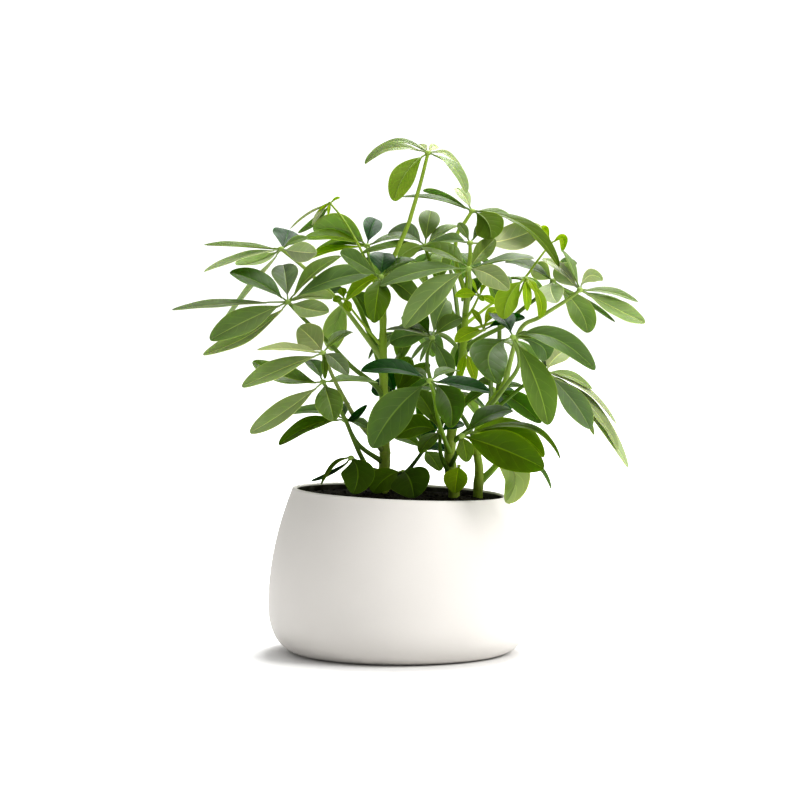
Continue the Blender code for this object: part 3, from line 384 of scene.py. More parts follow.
growth = {
    "stemSides": 9, "stemSteps": 11, "holeDepth": 62.0,
    "stalkSides": 5, "stalkStep": 24.0, "stalkFoot": 2.6, "stalkTop": 1.7, "hubRadius": 3.9,
    "routeFineness": 12, "stalkFineness": 8, "shortStalkSag": 0.08,
    "youngLength": 50.0, "youngShare": 0.6, "rootRadius": 0.9, "rootStart": 1.2, "smallestHalf": 1.2,
    "thickness": 1.4, "widthShare": 0.43, "stations": (0.2, 0.44, 0.7, 0.9), "outline": (0.95, 0.35),
    "widest": 1.14, "smallStations": (0.28, 0.6, 0.88), "smallBlade": 62.0, "fold": 0.17, "arch": 0.085,
    "leastReach": 0.9, "clearance": 1.1, "ownClearance": 0.3, "footShare": 0.3, "middleDepth": 0.55,
    "shifts": (0, 7, -7, 14, -14, 21, -21, 29, -29, 38, -38, 48, -48), "turns": (1.0, 0.6, 1.35),
    "farBlades": 6, "farDroop": 0.34, "farBends": (0.0, 0.16, -0.16), "farAhead": (0.82, 0.18),
    "farReach": 0.93, "farMiddle": 0.5, "farRise": 0.03, "farFollow": 0.4, "farRoot": 0.17,
    "farWidth": 0.85, "farStalkOut": 0.45, "farStalkUp": 0.62,
}


def smoothRoute(points, steps):
    # evenly spaced points along a smooth curve through the given points
    ends = [points[0] * 2 - points[1]] + list(points) + [points[-1] * 2 - points[-2]]
    between = growth["routeFineness"]
    fine = []
    for i in range(1, len(ends) - 2):
        a, b, c, d = ends[i - 1], ends[i], ends[i + 1], ends[i + 2]
        for k in range(between):
            t = k / between
            fine.append(0.5 * ((2 * b) + (c - a) * t + (2 * a - 5 * b + 4 * c - d) * t * t
                               + (3 * b - a - 3 * c + d) * t * t * t))
    fine.append(points[-1].copy())
    lengths = [0.0]
    for a, b in zip(fine, fine[1:]):
        lengths.append(lengths[-1] + (b - a).length)
    route = []
    k = 0
    for i in range(steps + 1):
        target = lengths[-1] * i / steps
        while k < len(fine) - 2 and lengths[k + 1] < target:
            k += 1
        share = (target - lengths[k]) / max(lengths[k + 1] - lengths[k], 1e-9)
        route.append(fine[k].lerp(fine[k + 1], min(max(share, 0.0), 1.0)))
    return route


def tube(route, radii, sides):
    # rings along a route, closed at both ends
    ways = []
    for i in range(len(route)):
        ways.append((route[min(i + 1, len(route) - 1)] - route[max(i - 1, 0)]).normalized())
    side = ways[0].orthogonal().normalized()
    points, faces = [], []
    for centre, way, radius in zip(route, ways, radii):
        side = (side - way * side.dot(way)).normalized()
        other = way.cross(side)
        for k in range(sides):
            angle = math.tau * k / sides
            points.append(centre + (side * math.cos(angle) + other * math.sin(angle)) * radius)
    for i in range(len(route) - 1):
        for k in range(sides):
            n = (k + 1) % sides
            a, b = i * sides + k, i * sides + n
            faces.append((a, b, b + sides))
            faces.append((a, b + sides, a + sides))
    last = (len(route) - 1) * sides
    faces.append(tuple(range(sides - 1, -1, -1)))
    faces.append(tuple(range(last, last + sides)))
    return points, faces


def knob(centre, radius):
    ways = [Vector(way) for way in ((1, 0, 0), (0, 1, 0), (-1, 0, 0), (0, -1, 0), (0, 0, 1), (0, 0, -1))]
    faces = []
    for k in range(4):
        n = (k + 1) % 4
        faces += [(k, n, 4), (n, k, 5)]
    return [centre + way * radius for way in ways], faces


def stemLine(name):
    # the solid stem's route and radii
    places, foot, top = stemPlaces[name]
    steps = growth["stemSteps"]
    route = smoothRoute([seenAt(*place) for place in places], steps)
    route = [route[0] - Vector((0, 0, growth["holeDepth"]))] + route
    return route, [foot] + [foot + (top - foot) * i / steps for i in range(steps + 1)]


def stemPoint(name, up):
    # the stem's middle at a height
    places = stemPlaces[name][0]
    for low, high in zip(places, places[1:]):
        if low[1] <= up <= high[1]:
            share = (up - low[1]) / (high[1] - low[1])
            return seenAt(low[0] + (high[0] - low[0]) * share, up, low[2] + (high[2] - low[2]) * share)
    return seenAt(*places[-1])


def leafletPath(start, middle, tip, share):
    control = middle * 2 - (start + tip) / 2
    return start * (1 - share) ** 2 + control * 2 * share * (1 - share) + tip * share ** 2


def leafletWay(start, middle, tip, share):
    control = middle * 2 - (start + tip) / 2
    return ((control - start) * (1 - share) + (tip - control) * share).normalized()


def faceDirection(way, point, openShare):
    # the blade's normal, square to its way, so that the front view sees that share of its width
    toEye = (eye - point).normalized()
    flat = toEye - way * toEye.dot(way)
    most = max(flat.length, 1e-6)
    flat.normalize()
    other = way.cross(flat).normalized()
    if other.z < 0:
        other.negate()
    a = max(-1.0, min(1.0, openShare / most))
    return (flat * a + other * math.sqrt(1 - a * a)).normalized()


def squareTo(way, normal):
    return (normal - way * normal.dot(way)).normalized()


def outlineAt(share, blunt, taper):
    # half width of a leaflet, up to 1: narrow foot, widest just past the middle, blunt tip
    return math.sin(math.pi * share ** growth["widest"]) ** (blunt - taper * share)


def testLeaflet(item, extra=0.0, inner=0.0):
    # the solid's own faceted leaflet, for the clearance tests
    start, middle, tip, root = item["start"], item["middle"], item["tip"], item["root"]
    small = (tip - start).length * (1 - root) <= growth["smallBlade"]
    foot = leafletPath(start, middle, tip, root)
    way = (foot - start).normalized()
    thin = growth["rootRadius"]
    rings = [(0.0, start + way * growth["rootStart"], way, squareTo(way, item["normal"]), thin, thin, 0.0),
             (root, foot, way, squareTo(way, item["normal"]), thin, thin, 0.0)]
    for station in growth["smallStations"] if small else growth["stations"]:
        share = root + (1 - root) * station
        way = leafletWay(start, middle, tip, share)
        half = max(item["width"] / 2 * outlineAt(station, *growth["outline"]), thin * growth["smallestHalf"])
        rings.append((share, leafletPath(start, middle, tip, share), way, squareTo(way, item["normal"]), half,
                      growth["thickness"] / 2, growth["fold"]))
    points, faces = [], []
    for share, at, way, normal, half, deep, fold in rings:
        if share < inner:
            continue
        side = way.cross(normal)
        rise = normal * ((half + extra) * fold)
        points += [at - side * (half + extra) + rise, at + normal * (deep + extra),
                   at + side * (half + extra) + rise, at - normal * (deep + extra)]
    count = len(points) // 4
    points.append(item["tip"] + way * extra)
    for i in range(count - 1):
        a = i * 4
        left, top, right, low = a, a + 1, a + 2, a + 3
        if i == 0 and inner == 0.0:
            faces += [(left, left + 4, top + 4, top), (left, low, low + 4, left + 4),
                      (right, top, top + 4, right + 4), (right, right + 4, low + 4, low)]
            continue
        faces += [(left, top + 4, top), (left, left + 4, top + 4),
                  (left, low, low + 4), (left, low + 4, left + 4),
                  (right, top, top + 4), (right, top + 4, right + 4),
                  (right, low + 4, low), (right, right + 4, low + 4)]
    a = (count - 1) * 4
    end = len(points) - 1
    faces += [(a, end, a + 1), (a + 1, end, a + 2), (a + 2, end, a + 3), (a + 3, end, a)]
    faces.append((0, 1, 2, 3))
    return points, faces


def treeOf(solid):
    return BVHTree.FromPolygons([tuple(p) for p in solid[0]], solid[1])


def boxOf(solid):
    points = solid[0]
    return (Vector([min(p[i] for p in points) for i in range(3)]),
            Vector([max(p[i] for p in points) for i in range(3)]))


placed = []


def keepPlace(owner, solid, outer=None):
    placed.append({"owner": owner, "tree": treeOf(solid), "box": boxOf(solid),
                   "outer": treeOf(outer) if outer else None})


def hasRoom(owner, solid, outer=None, skip=()):
    # other leaves and stems are kept clear of; a leaf's own pieces only away from its hub
    low, high = boxOf(solid)
    tree = treeOf(solid)
    outerTree = treeOf(outer) if outer else None
    for other in placed:
        if other["owner"] in skip:
            continue
        if any(low[i] > other["box"][1][i] or other["box"][0][i] > high[i] for i in range(3)):
            continue
        if other["owner"] == owner:
            if outerTree and other["outer"] and outerTree.overlap(other["outer"]):
                return False
        elif tree.overlap(other["tree"]):
            return False
    return True


def grownBlade(piece, hub, length, shift, turn):
    # a leaflet that the front view shows; its real length says how far it reaches to the front or back
    across, up = piece["tip"]
    flat = seenAt(across, up, hub.y) - hub
    wanted = length * piece["size"]
    depth = piece["turn"] * math.sqrt(max(wanted ** 2 - flat.length ** 2, 0.0))
    tip = seenAt(across, up, hub.y + depth + shift)
    if piece["mid"]:
        middle = seenAt(*piece["mid"], hub.y + (depth + shift) * growth["middleDepth"])
    else:
        middle = (hub + tip) / 2 + Vector((0, 0, growth["arch"] * (tip - hub).length))
    reach = (tip - hub).length
    width = growth["widthShare"] * max(reach, wanted * growth["leastReach"]) * (1 - piece["root"])
    width = max(piece["wide"] or width, abs(piece["seen"]))
    normal = faceDirection(leafletWay(hub, middle, tip, 0.5), middle, piece["seen"] * turn / width)
    return {"start": hub, "middle": middle, "tip": tip, "root": piece["root"], "width": width,
            "normal": normal, "curl": piece["curl"]}


def farBlade(hub, outward, length, angle, shift):
    # a leaflet on the far side, spread like an umbrella's rib
    way = Vector((math.cos(angle), math.sin(angle), 0))
    least, more = growth["farAhead"]
    ahead = least + more * way.dot(outward)
    tip = hub + way * (length * ahead * growth["farReach"])
    tip += Vector((0, 0, -length * growth["farDroop"] + shift))
    middle = hub + way * (length * ahead * growth["farMiddle"])
    middle += Vector((0, 0, length * growth["farRise"] + shift * growth["farFollow"]))
    return {"start": hub, "middle": middle, "tip": tip, "root": growth["farRoot"], "curl": 0.0,
            "width": growth["widthShare"] * length * growth["farWidth"], "normal": Vector((0, 0, 1))}


def stepsFor(points):
    length = sum((b - a).length for a, b in zip(points, points[1:]))
    return max(2, math.ceil(length / growth["stalkStep"]))


def stalkPlaces(plan, joint, hub, shift):
    # the places that a stalk's curve runs through
    if "far" in plan:
        flat = Vector((hub.x - joint.x, hub.y - joint.y, 0))
        side = Vector((-flat.y, flat.x, 0)).normalized()
        lift = Vector((0, 0, (hub.z - joint.z) * growth["farStalkUp"]))
        return [joint, joint + flat * growth["farStalkOut"] + lift + side * shift, hub]
    count = len(plan["route"]) + 1
    points = [joint]
    for i, (across, up) in enumerate(plan["route"]):
        share = (i + 1) / count
        depth = joint.y + (hub.y - joint.y) * share + shift * math.sin(math.pi * share)
        points.append(seenAt(across, up, depth))
    points.append(hub)
    if len(points) == 2:
        sag = (hub - joint).length * growth["shortStalkSag"]
        points.insert(1, (joint + hub) / 2 + Vector((0, shift, -sag)))
    return points


def testStalk(route, slim, extra=0.0):
    steps = len(route) - 1
    foot, top = growth["stalkFoot"], growth["stalkTop"]
    return tube(route, [(foot + (top - foot) * i / steps) * slim + extra for i in range(steps + 1)],
                growth["stalkSides"])


def outsideStem(route, stemTree):
    # the stalk's route from where it comes out of its stem
    between = growth["stalkFineness"]
    fine = [a.lerp(b, k / between) for a, b in zip(route, route[1:]) for k in range(between)]
    for i, point in enumerate(fine):
        nearest, normal, _, distance = stemTree.find_nearest(point)
        if (point - nearest).dot(normal) > 0 and distance > gap:
            after = i // between + 1
            return [point] + route[after:] if i % between else route[after - 1:]
    return route[-2:]


def placeStalks(plans, stemTrees):
    for plan in plans:
        joint = stemPoint(plan["stem"], plan["joint"])
        slim = growth["youngShare"] if plan["length"] < growth["youngLength"] else plan.get("stout", 1.0)
        hub = plan["far"] if "far" in plan else seenAt(*plan["hub"])
        for shift in growth["shifts"]:
            places = stalkPlaces(plan, joint, hub, shift)
            route = smoothRoute(places, stepsFor(places))
            freePart = outsideStem(route, stemTrees[plan["stem"]])
            if hasRoom(plan["name"], testStalk(freePart, slim, growth["clearance"]), skip=(plan["stem"],)):
                break
        plan["point"], plan["slim"], plan["places"] = hub, slim, places
        keepPlace(plan["name"], testStalk(freePart, slim))
        keepPlace(plan["name"], knob(hub, growth["hubRadius"] * slim))


def placeBlade(plan, options):
    # the first of the options that stays clear of all that stands already
    share, room = growth["footShare"], growth["clearance"]
    ownRoom = room * growth["ownClearance"]
    for option in options:
        if hasRoom(plan["name"], testLeaflet(option, room), testLeaflet(option, ownRoom, share)):
            keepPlace(plan["name"], testLeaflet(option), testLeaflet(option, 0.0, share))
            return option
    return None


def placeBlades(plans):
    for plan in plans:
        hub, length = plan["point"], plan["length"]
        options = []
        if "far" in plan:
            outward = Vector((hub.x, hub.y, 0)).normalized()
            for k in range(growth["farBlades"]):
                angle = plan["first"] + math.tau * k / growth["farBlades"]
                options.append([farBlade(hub, outward, length, angle + bend, shift)
                                for shift in growth["shifts"] for bend in growth["farBends"]])
        else:
            for piece in plan["blades"]:
                options.append([grownBlade(piece, hub, length, shift, turn)
                                for turn in growth["turns"] for shift in growth["shifts"]])
        plan["leaflets"] = []
        for number, (tint, choice) in enumerate(zip(plan["tints"], options)):
            found = placeBlade(plan, choice)
            if found:
                found["tint"], found["number"] = tint, number
                plan["leaflets"].append(found)


def growPlan():
    stemTrees = {}
    for name in stemPlaces:
        solid = tube(*stemLine(name), growth["stemSides"])
        keepPlace(name, solid)
        stemTrees[name] = treeOf(solid)
    plans = list(leafPlans)
    for number, (name, stem, joint, (x, z, y), length, first) in enumerate(farPlans):
        plans.append({"name": name, "stem": stem, "joint": joint, "far": Vector((x, y, z)), "length": length,
                      "first": math.radians(first), "tints": farTints[number % 2],
                      "stalkTint": "mid"})
    placeStalks(plans, stemTrees)
    placeBlades(plans)
    return plans


# Shared effects, as node groups

def newGroup(name, inputs, outputs):
    group = bpy.data.node_groups.new(name, "ShaderNodeTree")
    for label, kind, value in inputs:
        socket = group.interface.new_socket(name=label, in_out="INPUT", socket_type=kind)
        if value is not None:
            socket.default_value = value
    for label, kind in outputs:
        group.interface.new_socket(name=label, in_out="OUTPUT", socket_type=kind)
    return group, group.nodes.new("NodeGroupInput"), group.nodes.new("NodeGroupOutput")


def addNode(tree, kind, **values):
    node = tree.nodes.new(kind)
    for key, value in values.items():
        setattr(node, key, value)
    return node


def doMath(tree, operation, a, b=None, c=None, clamp=False):
    node = addNode(tree, "ShaderNodeMath", operation=operation, use_clamp=clamp)
    for socket, value in zip(node.inputs, (a, b, c)):
        if value is None:
            continue
        if isinstance(value, (int, float)):
            socket.default_value = value
        else:
            tree.links.new(value, socket)
    return node.outputs[0]


def mixColours(tree, factor, a, b, blend="MIX"):
    node = addNode(tree, "ShaderNodeMix", data_type="RGBA", blend_type=blend)
    for socket, value in ((node.inputs[0], factor), (node.inputs[6], a), (node.inputs[7], b)):
        if isinstance(value, (int, float)):
            socket.default_value = value
        elif isinstance(value, tuple):
            socket.default_value = (*value, 1.0)
        else:
            tree.links.new(value, socket)
    return node.outputs[2]


def smoothStep(tree, value, low, high):
    node = addNode(tree, "ShaderNodeMapRange", interpolation_type="SMOOTHSTEP")
    tree.links.new(value, node.inputs[0])
    for socket, limit in ((node.inputs[1], low), (node.inputs[2], high)):
        if isinstance(limit, (int, float)):
            socket.default_value = limit
        else:
            tree.links.new(limit, socket)
    return node.outputs[0]


def noiseAt(tree, place, scale, detail=3.0, rough=0.55):
    node = addNode(tree, "ShaderNodeTexNoise")
    tree.links.new(place, node.inputs["Vector"])
    node.inputs["Scale"].default_value = scale
    node.inputs["Detail"].default_value = detail
    node.inputs["Roughness"].default_value = rough
    return node.outputs[0]


veinShape = {  # shares of the half blade, and of the way from one side vein to the next
    "midribFrom": 0.015, "midribTo": 0.085, "midribTaper": 0.05, "bend": 1.25, "lineFrom": 0.86,
    "fadeFrom": 0.55, "fadeTo": 0.95, "edgeFrom": 0.955, "edgeTo": 0.99, "pillowPower": 2.5,
}


def makeVeinsGroup():
    # ribs of a leaflet, from its own map: along from foot to tip, across from edge to edge
    group, given, out = newGroup("leafVeins", [
        ("Along", "NodeSocketFloat", 0.5), ("Across", "NodeSocketFloat", 0.5),
        ("Pairs", "NodeSocketFloat", 8.0), ("Sweep", "NodeSocketFloat", 1.2),
        ("Wander", "NodeSocketFloat", 0.0)],
        [("Midrib", "NodeSocketFloat"), ("Side veins", "NodeSocketFloat"), ("Edge", "NodeSocketFloat"),
         ("Pillow", "NodeSocketFloat")])
    g = given.outputs
    off = doMath(group, "ABSOLUTE", doMath(group, "MULTIPLY_ADD", g["Across"], 2.0, -1.0))
    wide = doMath(group, "MULTIPLY_ADD", g["Along"], -veinShape["midribTaper"], veinShape["midribTo"])
    midrib = doMath(group, "SUBTRACT", 1.0, smoothStep(group, off, veinShape["midribFrom"], wide))
    swept = doMath(group, "SUBTRACT", doMath(group, "MULTIPLY", g["Along"], g["Pairs"]),
                   doMath(group, "MULTIPLY", doMath(group, "POWER", off, veinShape["bend"]), g["Sweep"]))
    swept = doMath(group, "ADD", swept, g["Wander"])
    swept = doMath(group, "FRACT", swept)
    step = doMath(group, "ABSOLUTE", doMath(group, "MULTIPLY_ADD", swept, 2.0, -1.0))
    fade = doMath(group, "SUBTRACT", 1.0, smoothStep(group, off, veinShape["fadeFrom"], veinShape["fadeTo"]))
    lines = doMath(group, "MULTIPLY", smoothStep(group, step, veinShape["lineFrom"], 1.0), fade)
    hollow = doMath(group, "POWER", step, veinShape["pillowPower"])
    group.links.new(midrib, out.inputs["Midrib"])
    group.links.new(lines, out.inputs["Side veins"])
    group.links.new(smoothStep(group, off, veinShape["edgeFrom"], veinShape["edgeTo"]), out.inputs["Edge"])
    group.links.new(doMath(group, "SUBTRACT", 1.0, hollow), out.inputs["Pillow"])
    return group


mottleShape = {"from": 0.3, "to": 0.7, "cloudDetail": 2.0, "grainDetail": 3.0}


def makeMottleGroup():
    # cloudy and fine variation of a surface, about 0 to 1
    group, given, out = newGroup("mottle", [
        ("Place", "NodeSocketVector", None), ("Cloud scale", "NodeSocketFloat", 40.0),
        ("Grain scale", "NodeSocketFloat", 900.0)],
        [("Cloud", "NodeSocketFloat"), ("Grain", "NodeSocketFloat")])
    for label, scale, detail in (("Cloud", "Cloud scale", "cloudDetail"),
                                 ("Grain", "Grain scale", "grainDetail")):
        node = addNode(group, "ShaderNodeTexNoise")
        node.inputs["Detail"].default_value = mottleShape[detail]
        group.links.new(given.outputs["Place"], node.inputs["Vector"])
        group.links.new(given.outputs[scale], node.inputs["Scale"])
        level = smoothStep(group, node.outputs[0], mottleShape["from"], mottleShape["to"])
        group.links.new(level, out.inputs[label])
    return group


def startMaterial(name):
    material = bpy.data.materials.new(name)
    material.use_nodes = True
    tree = material.node_tree
    shader = tree.nodes["Principled BSDF"]
    shader.inputs["Metallic"].default_value = 0.0
    return material, tree, shader


def placeGroup(tree, group, **values):
    node = addNode(tree, "ShaderNodeGroup", node_tree=group)
    for label, value in values.items():
        socket = node.inputs[label.replace("_", " ")]
        if isinstance(value, (int, float)):
            socket.default_value = value
        else:
            tree.links.new(value, socket)
    return node.outputs


def markPlace(tree, mottle, look):
    # the object's own coordinates, and the mottle at the scales of a piece's dictionary
    place = addNode(tree, "ShaderNodeTexCoord").outputs["Object"]
    return place, placeGroup(tree, mottle, Place=place, Cloud_scale=look["cloudScale"],
                             Grain_scale=look["grainScale"])


def bumpInto(tree, shader, height, look):
    node = addNode(tree, "ShaderNodeBump")
    node.inputs["Distance"].default_value = look["relief"]
    node.inputs["Strength"].default_value = look["reliefStrength"]
    tree.links.new(height, node.inputs["Height"])
    tree.links.new(node.outputs[0], shader.inputs["Normal"])


# Pot

pot = {
    "height": 161.0, "footRadius": 98.0, "bellyRadius": 132.2, "bellyHeight": 46.0, "rimDrawIn": 25.0,
    "rimCurve": 1.9, "cornerPower": 2.2, "wall": 5.2, "floor": 9.0, "lipRadius": 2.6, "rimSlant": 0.00027,
    "segments": 160, "cornerSteps": 22, "wallSteps": 30, "lipSteps": 12,
    "colour": (0.775, 0.748, 0.715), "roughness": 0.52, "cloudScale": 14.0, "cloudTones": (0.985, 1.01),
    "speck": (0.60, 0.57, 0.52), "grainScale": 1500.0, "speckShare": 0.05, "roughSpread": 0.08,
    "relief": 0.00005, "reliefStrength": 0.25,
    # near black on the inner wall: painted shade inside the pot, with some soil stain
    "stain": (0.030, 0.028, 0.012), "stainAndShadeScale": 60.0, "stainAndShadePatches": 0.5, "stainAndShadeLeast": 0.7,
}


def slanted(x, y, z):
    # the pot's rim is a little higher on the left
    return Vector((x, y, z * (1 - x * pot["rimSlant"])))


def bowlRadius(belly, z):
    share = (z - pot["bellyHeight"]) / (pot["height"] - pot["bellyHeight"])
    return belly - pot["rimDrawIn"] * share ** pot["rimCurve"]


def bowlLine(foot, belly, floor):
    # the wall's profile from the foot up: rounded corner, belly, and a top that draws in
    line = []
    power = 2 / pot["cornerPower"]
    for k in range(pot["cornerSteps"] + 1):
        angle = math.pi / 2 * k / pot["cornerSteps"]
        out = math.sin(angle) ** power
        down = max(math.cos(angle), 0.0) ** power
        line.append((foot + (belly - foot) * out, pot["bellyHeight"] - (pot["bellyHeight"] - floor) * down))
    top = pot["height"] - pot["lipRadius"]
    for k in range(1, pot["wallSteps"] + 1):
        z = pot["bellyHeight"] + (top - pot["bellyHeight"]) * k / pot["wallSteps"]
        line.append((bowlRadius(belly, z), z))
    return line


def turned(line, segments):
    points, faces = [], []
    for radius, z in line:
        for k in range(segments):
            angle = math.tau * k / segments
            points.append(slanted(radius * math.cos(angle), radius * math.sin(angle), z))
    for i in range(len(line) - 1):
        for k in range(segments):
            n = (k + 1) % segments
            a, b = i * segments + k, i * segments + n
            faces.append((a, b, b + segments, a + segments))
    last = (len(line) - 1) * segments
    faces.append(tuple(range(segments - 1, -1, -1)))
    faces.append(tuple(range(last, last + segments)))
    return points, faces


def addPiece(name, points, faces, material, sharp=35.0):
    mesh = bpy.data.meshes.new(name)
    mesh.from_pydata([tuple(p * mm) for p in points], [], faces)
    mesh.validate()
    mesh.shade_smooth()
    mesh.set_sharp_from_angle(angle=math.radians(sharp))
    item = bpy.data.objects.new(name, mesh)
    bpy.context.scene.collection.objects.link(item)
    item.data.materials.append(material)
    return item


def makeCeramic(mottle):
    material, tree, shader = startMaterial("matteCeramic")
    place, marks = markPlace(tree, mottle, pot)
    darker, lighter = [tuple(c * share for c in pot["colour"]) for share in pot["cloudTones"]]
    tone = mixColours(tree, marks["Cloud"], darker, lighter)
    tone = mixColours(tree, doMath(tree, "MULTIPLY", marks["Grain"], pot["speckShare"]), tone, pot["speck"])
    # the inner wall darkens to near black in patches: painted shade inside the pot, with some soil stain
    inside = addNode(tree, "ShaderNodeAttribute", attribute_name="inside").outputs["Fac"]
    stainAndShadeAmount = doMath(tree, "MULTIPLY_ADD", noiseAt(tree, place, pot["stainAndShadeScale"]), pot["stainAndShadePatches"],
                  pot["stainAndShadeLeast"])
    tone = mixColours(tree, doMath(tree, "MULTIPLY", inside, stainAndShadeAmount, clamp=True), tone, pot["stain"])
    tree.links.new(tone, shader.inputs["Base Color"])
    rough = doMath(tree, "MULTIPLY_ADD", marks["Grain"], pot["roughSpread"],
                   pot["roughness"] - pot["roughSpread"] / 2)
    tree.links.new(rough, shader.inputs["Roughness"])
    bumpInto(tree, shader, marks["Grain"], pot)
    return material


def markInside(item, outsideRings):
    # 1 on the inner wall's points, 0 on the outer wall and the lip
    around = pot["segments"]
    mark = item.data.attributes.new("inside", "FLOAT", "POINT")
    values = [0.0 if i < outsideRings * around else 1.0 for i in range(len(item.data.vertices))]
    mark.data.foreach_set("value", values)


def makePot(mottle):
    wall, radius = pot["wall"], pot["lipRadius"]
    outside = bowlLine(pot["footRadius"], pot["bellyRadius"], 0.0)
    inside = bowlLine(pot["footRadius"] - wall, pot["bellyRadius"] - wall, pot["floor"])
    middle = outside[-1][0] - radius
    lip = []
    for k in range(1, pot["lipSteps"]):
        angle = math.pi * k / pot["lipSteps"]
        lip.append((middle + radius * math.cos(angle), pot["height"] - radius + radius * math.sin(angle)))
    item = addPiece("potShell", *turned(outside + lip + inside[::-1], pot["segments"]), makeCeramic(mottle))
    markInside(item, len(outside + lip))
    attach(item, "root")
    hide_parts("pot")


# Soil

soil = {
    "belowRim": 8.0, "dome": 4.0, "bump": 0.8, "waves": (0.11, 0.13, 0.19), "rings": 46, "segments": 150,
    "clod": 1.56, "clodWaves": (0.09, 0.21, 0.55), "clodShares": (1.1, 1.0, 0.5), "hollow": 0.4,
    "clodReach": 104.0, "clodFade": 8.0,
    "crumbs": 520, "crumbSize": (0.7, 2.6), "crumbReach": 102.0, "crumbStray": 1.5, "crumbLift": 0.25,
    "crumbSides": 5, "crumbTurn": 0.6, "crumbBelt": (0.45, 0.85), "crumbRoughness": (1.7, 0.45),
    "crumbFlatness": 0.75,
    # the soil's colours are near black: its own dark brown, darkened further as painted shade under the
    # leaves
    "dark": (0.004, 0.0035, 0.0012), "light": (0.020, 0.017, 0.007), "fibre": (0.07, 0.045, 0.022),
    "fibreScale": 420.0, "fibreFrom": 0.60, "fibreTo": 0.72, "fibreShare": 0.45, "cloudScale": 130.0,
    "grainScale": 1300.0, "roughness": 0.78, "roughSpread": 0.2, "relief": 0.0009, "reliefStrength": 0.8,
    "specular": 0.1,
}


def soilHeight(x, y):
    # the soil's smooth top: a low dome with a few waves, level at the rim
    mouth = pot["bellyRadius"] - pot["rimDrawIn"]
    share = min(math.hypot(x, y) / mouth, 1.0)
    long, cross, slope = soil["waves"]
    bump = math.sin(x * long + 1.0) * math.cos(y * cross) + math.sin((x - y) * slope)
    return (pot["height"] - soil["belowRim"] + soil["dome"] * (1 - share * share)
            + soil["bump"] * bump * (1 - share ** 4))


def cloddy(x, y):
    # the soil's height with its clods
    big, small, fine = [noise.noise(Vector((x, y, layer)) * wave) * share for layer, wave, share
                        in zip((0, 7, 3), soil["clodWaves"], soil["clodShares"])]
    edge = min(max((soil["clodReach"] - math.hypot(x, y)) / soil["clodFade"], 0.0), 1.0)
    return soilHeight(x, y) + (max(big + small, -soil["hollow"]) + fine) * soil["clod"] * edge


def makeSoilMaterial(mottle):
    material, tree, shader = startMaterial("pottingSoil")
    place, marks = markPlace(tree, mottle, soil)
    # near-black soil tone: own dark colour plus painted shade from the leaves above
    tone = mixColours(tree, marks["Cloud"], soil["dark"], soil["light"])
    fibre = smoothStep(tree, noiseAt(tree, place, soil["fibreScale"], detail=4.0, rough=0.7),
                       soil["fibreFrom"], soil["fibreTo"])
    tone = mixColours(tree, doMath(tree, "MULTIPLY", fibre, soil["fibreShare"]), tone, soil["fibre"])
    tree.links.new(tone, shader.inputs["Base Color"])
    rough = doMath(tree, "MULTIPLY_ADD", marks["Grain"], soil["roughSpread"], soil["roughness"])
    tree.links.new(rough, shader.inputs["Roughness"])
    bumpInto(tree, shader, doMath(tree, "ADD", marks["Grain"], marks["Cloud"]), soil)
    shader.inputs["Specular IOR Level"].default_value = soil["specular"]
    return material


def soilBody():
    # the sides and foot follow the pot's inner wall, and the top has rings of clods
    wall = pot["wall"] + gap
    edge = pot["height"] - soil["belowRim"]
    side = [(r, z) for r, z in bowlLine(pot["footRadius"] - wall, pot["bellyRadius"] - wall,
                                        pot["floor"] + gap) if z < edge - 2]
    # every third ring is enough inside the pot
    side = side[::3] + [(bowlRadius(pot["bellyRadius"] - wall, edge), edge)]
    around = soil["segments"]
    points, faces = turned(side, around)
    faces.pop()
    ring = (len(side) - 1) * around
    for i in range(1, soil["rings"]):
        radius = side[-1][0] * (1 - i / soil["rings"])
        for k in range(around):
            angle = math.tau * k / around
            x, y = radius * math.cos(angle), radius * math.sin(angle)
            points.append(slanted(x, y, cloddy(x, y)))
        for k in range(around):
            a, b = ring + k, ring + (k + 1) % around
            faces.append((a, b, b + around, a + around))
        ring += around
    points.append(slanted(0, 0, cloddy(0, 0)))
    faces += [(ring + k, ring + (k + 1) % around, len(points) - 1) for k in range(around)]
    return points, faces


def addCrumb(points, faces, centre, size, seed):
    # a rough little lump: a point below, two belts and a point above
    first, sides = len(points), soil["crumbSides"]
    belt, wide = soil["crumbBelt"]
    wave, depth = soil["crumbRoughness"]
    rings = ((-1.0, 0.0, 0.0), (-belt, wide, 0.0), (belt, wide, soil["crumbTurn"]), (1.0, 0.0, 0.0))
    for up, out, turn in rings:
        for j in range(sides if out else 1):
            way = math.tau * (j + turn) / sides
            spot = Vector((math.cos(way) * out, math.sin(way) * out, up))
            rough = 1.0 + depth * noise.noise(spot * wave + Vector((seed, 0, 0)))
            spot.z *= soil["crumbFlatness"]
            points.append(centre + spot * size * rough)
    low, high = first + 1, first + 1 + sides
    for j in range(sides):
        n = (j + 1) % sides
        faces += [(first, low + n, low + j), (low + j, low + n, high + j),
                  (low + n, high + n, high + j), (high + j, high + n, high + sides)]


def makeSoil(mottle):
    points, faces = soilBody()
    # an even spiral of crumbs, which settled noise strays and sizes
    golden = math.pi * (3 - math.sqrt(5))
    least, most = soil["crumbSize"]
    for k in range(soil["crumbs"]):
        radius = soil["crumbReach"] * math.sqrt((k + 0.5) / soil["crumbs"])
        angle = k * golden + noise.noise(Vector((k * 0.37, 1.7, 0.0))) * soil["crumbStray"]
        x, y = radius * math.cos(angle), radius * math.sin(angle)
        share = 0.5 + 0.5 * noise.noise(Vector((k * 0.71, 4.2, 0.3)))
        size = least + (most - least) * share ** 2
        addCrumb(points, faces, slanted(x, y, cloddy(x, y) + size * soil["crumbLift"]), size, k)
    item = addPiece("soilTop", points, faces, makeSoilMaterial(mottle), sharp=60.0)
    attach(item, "root")
    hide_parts("soil")


# Stems

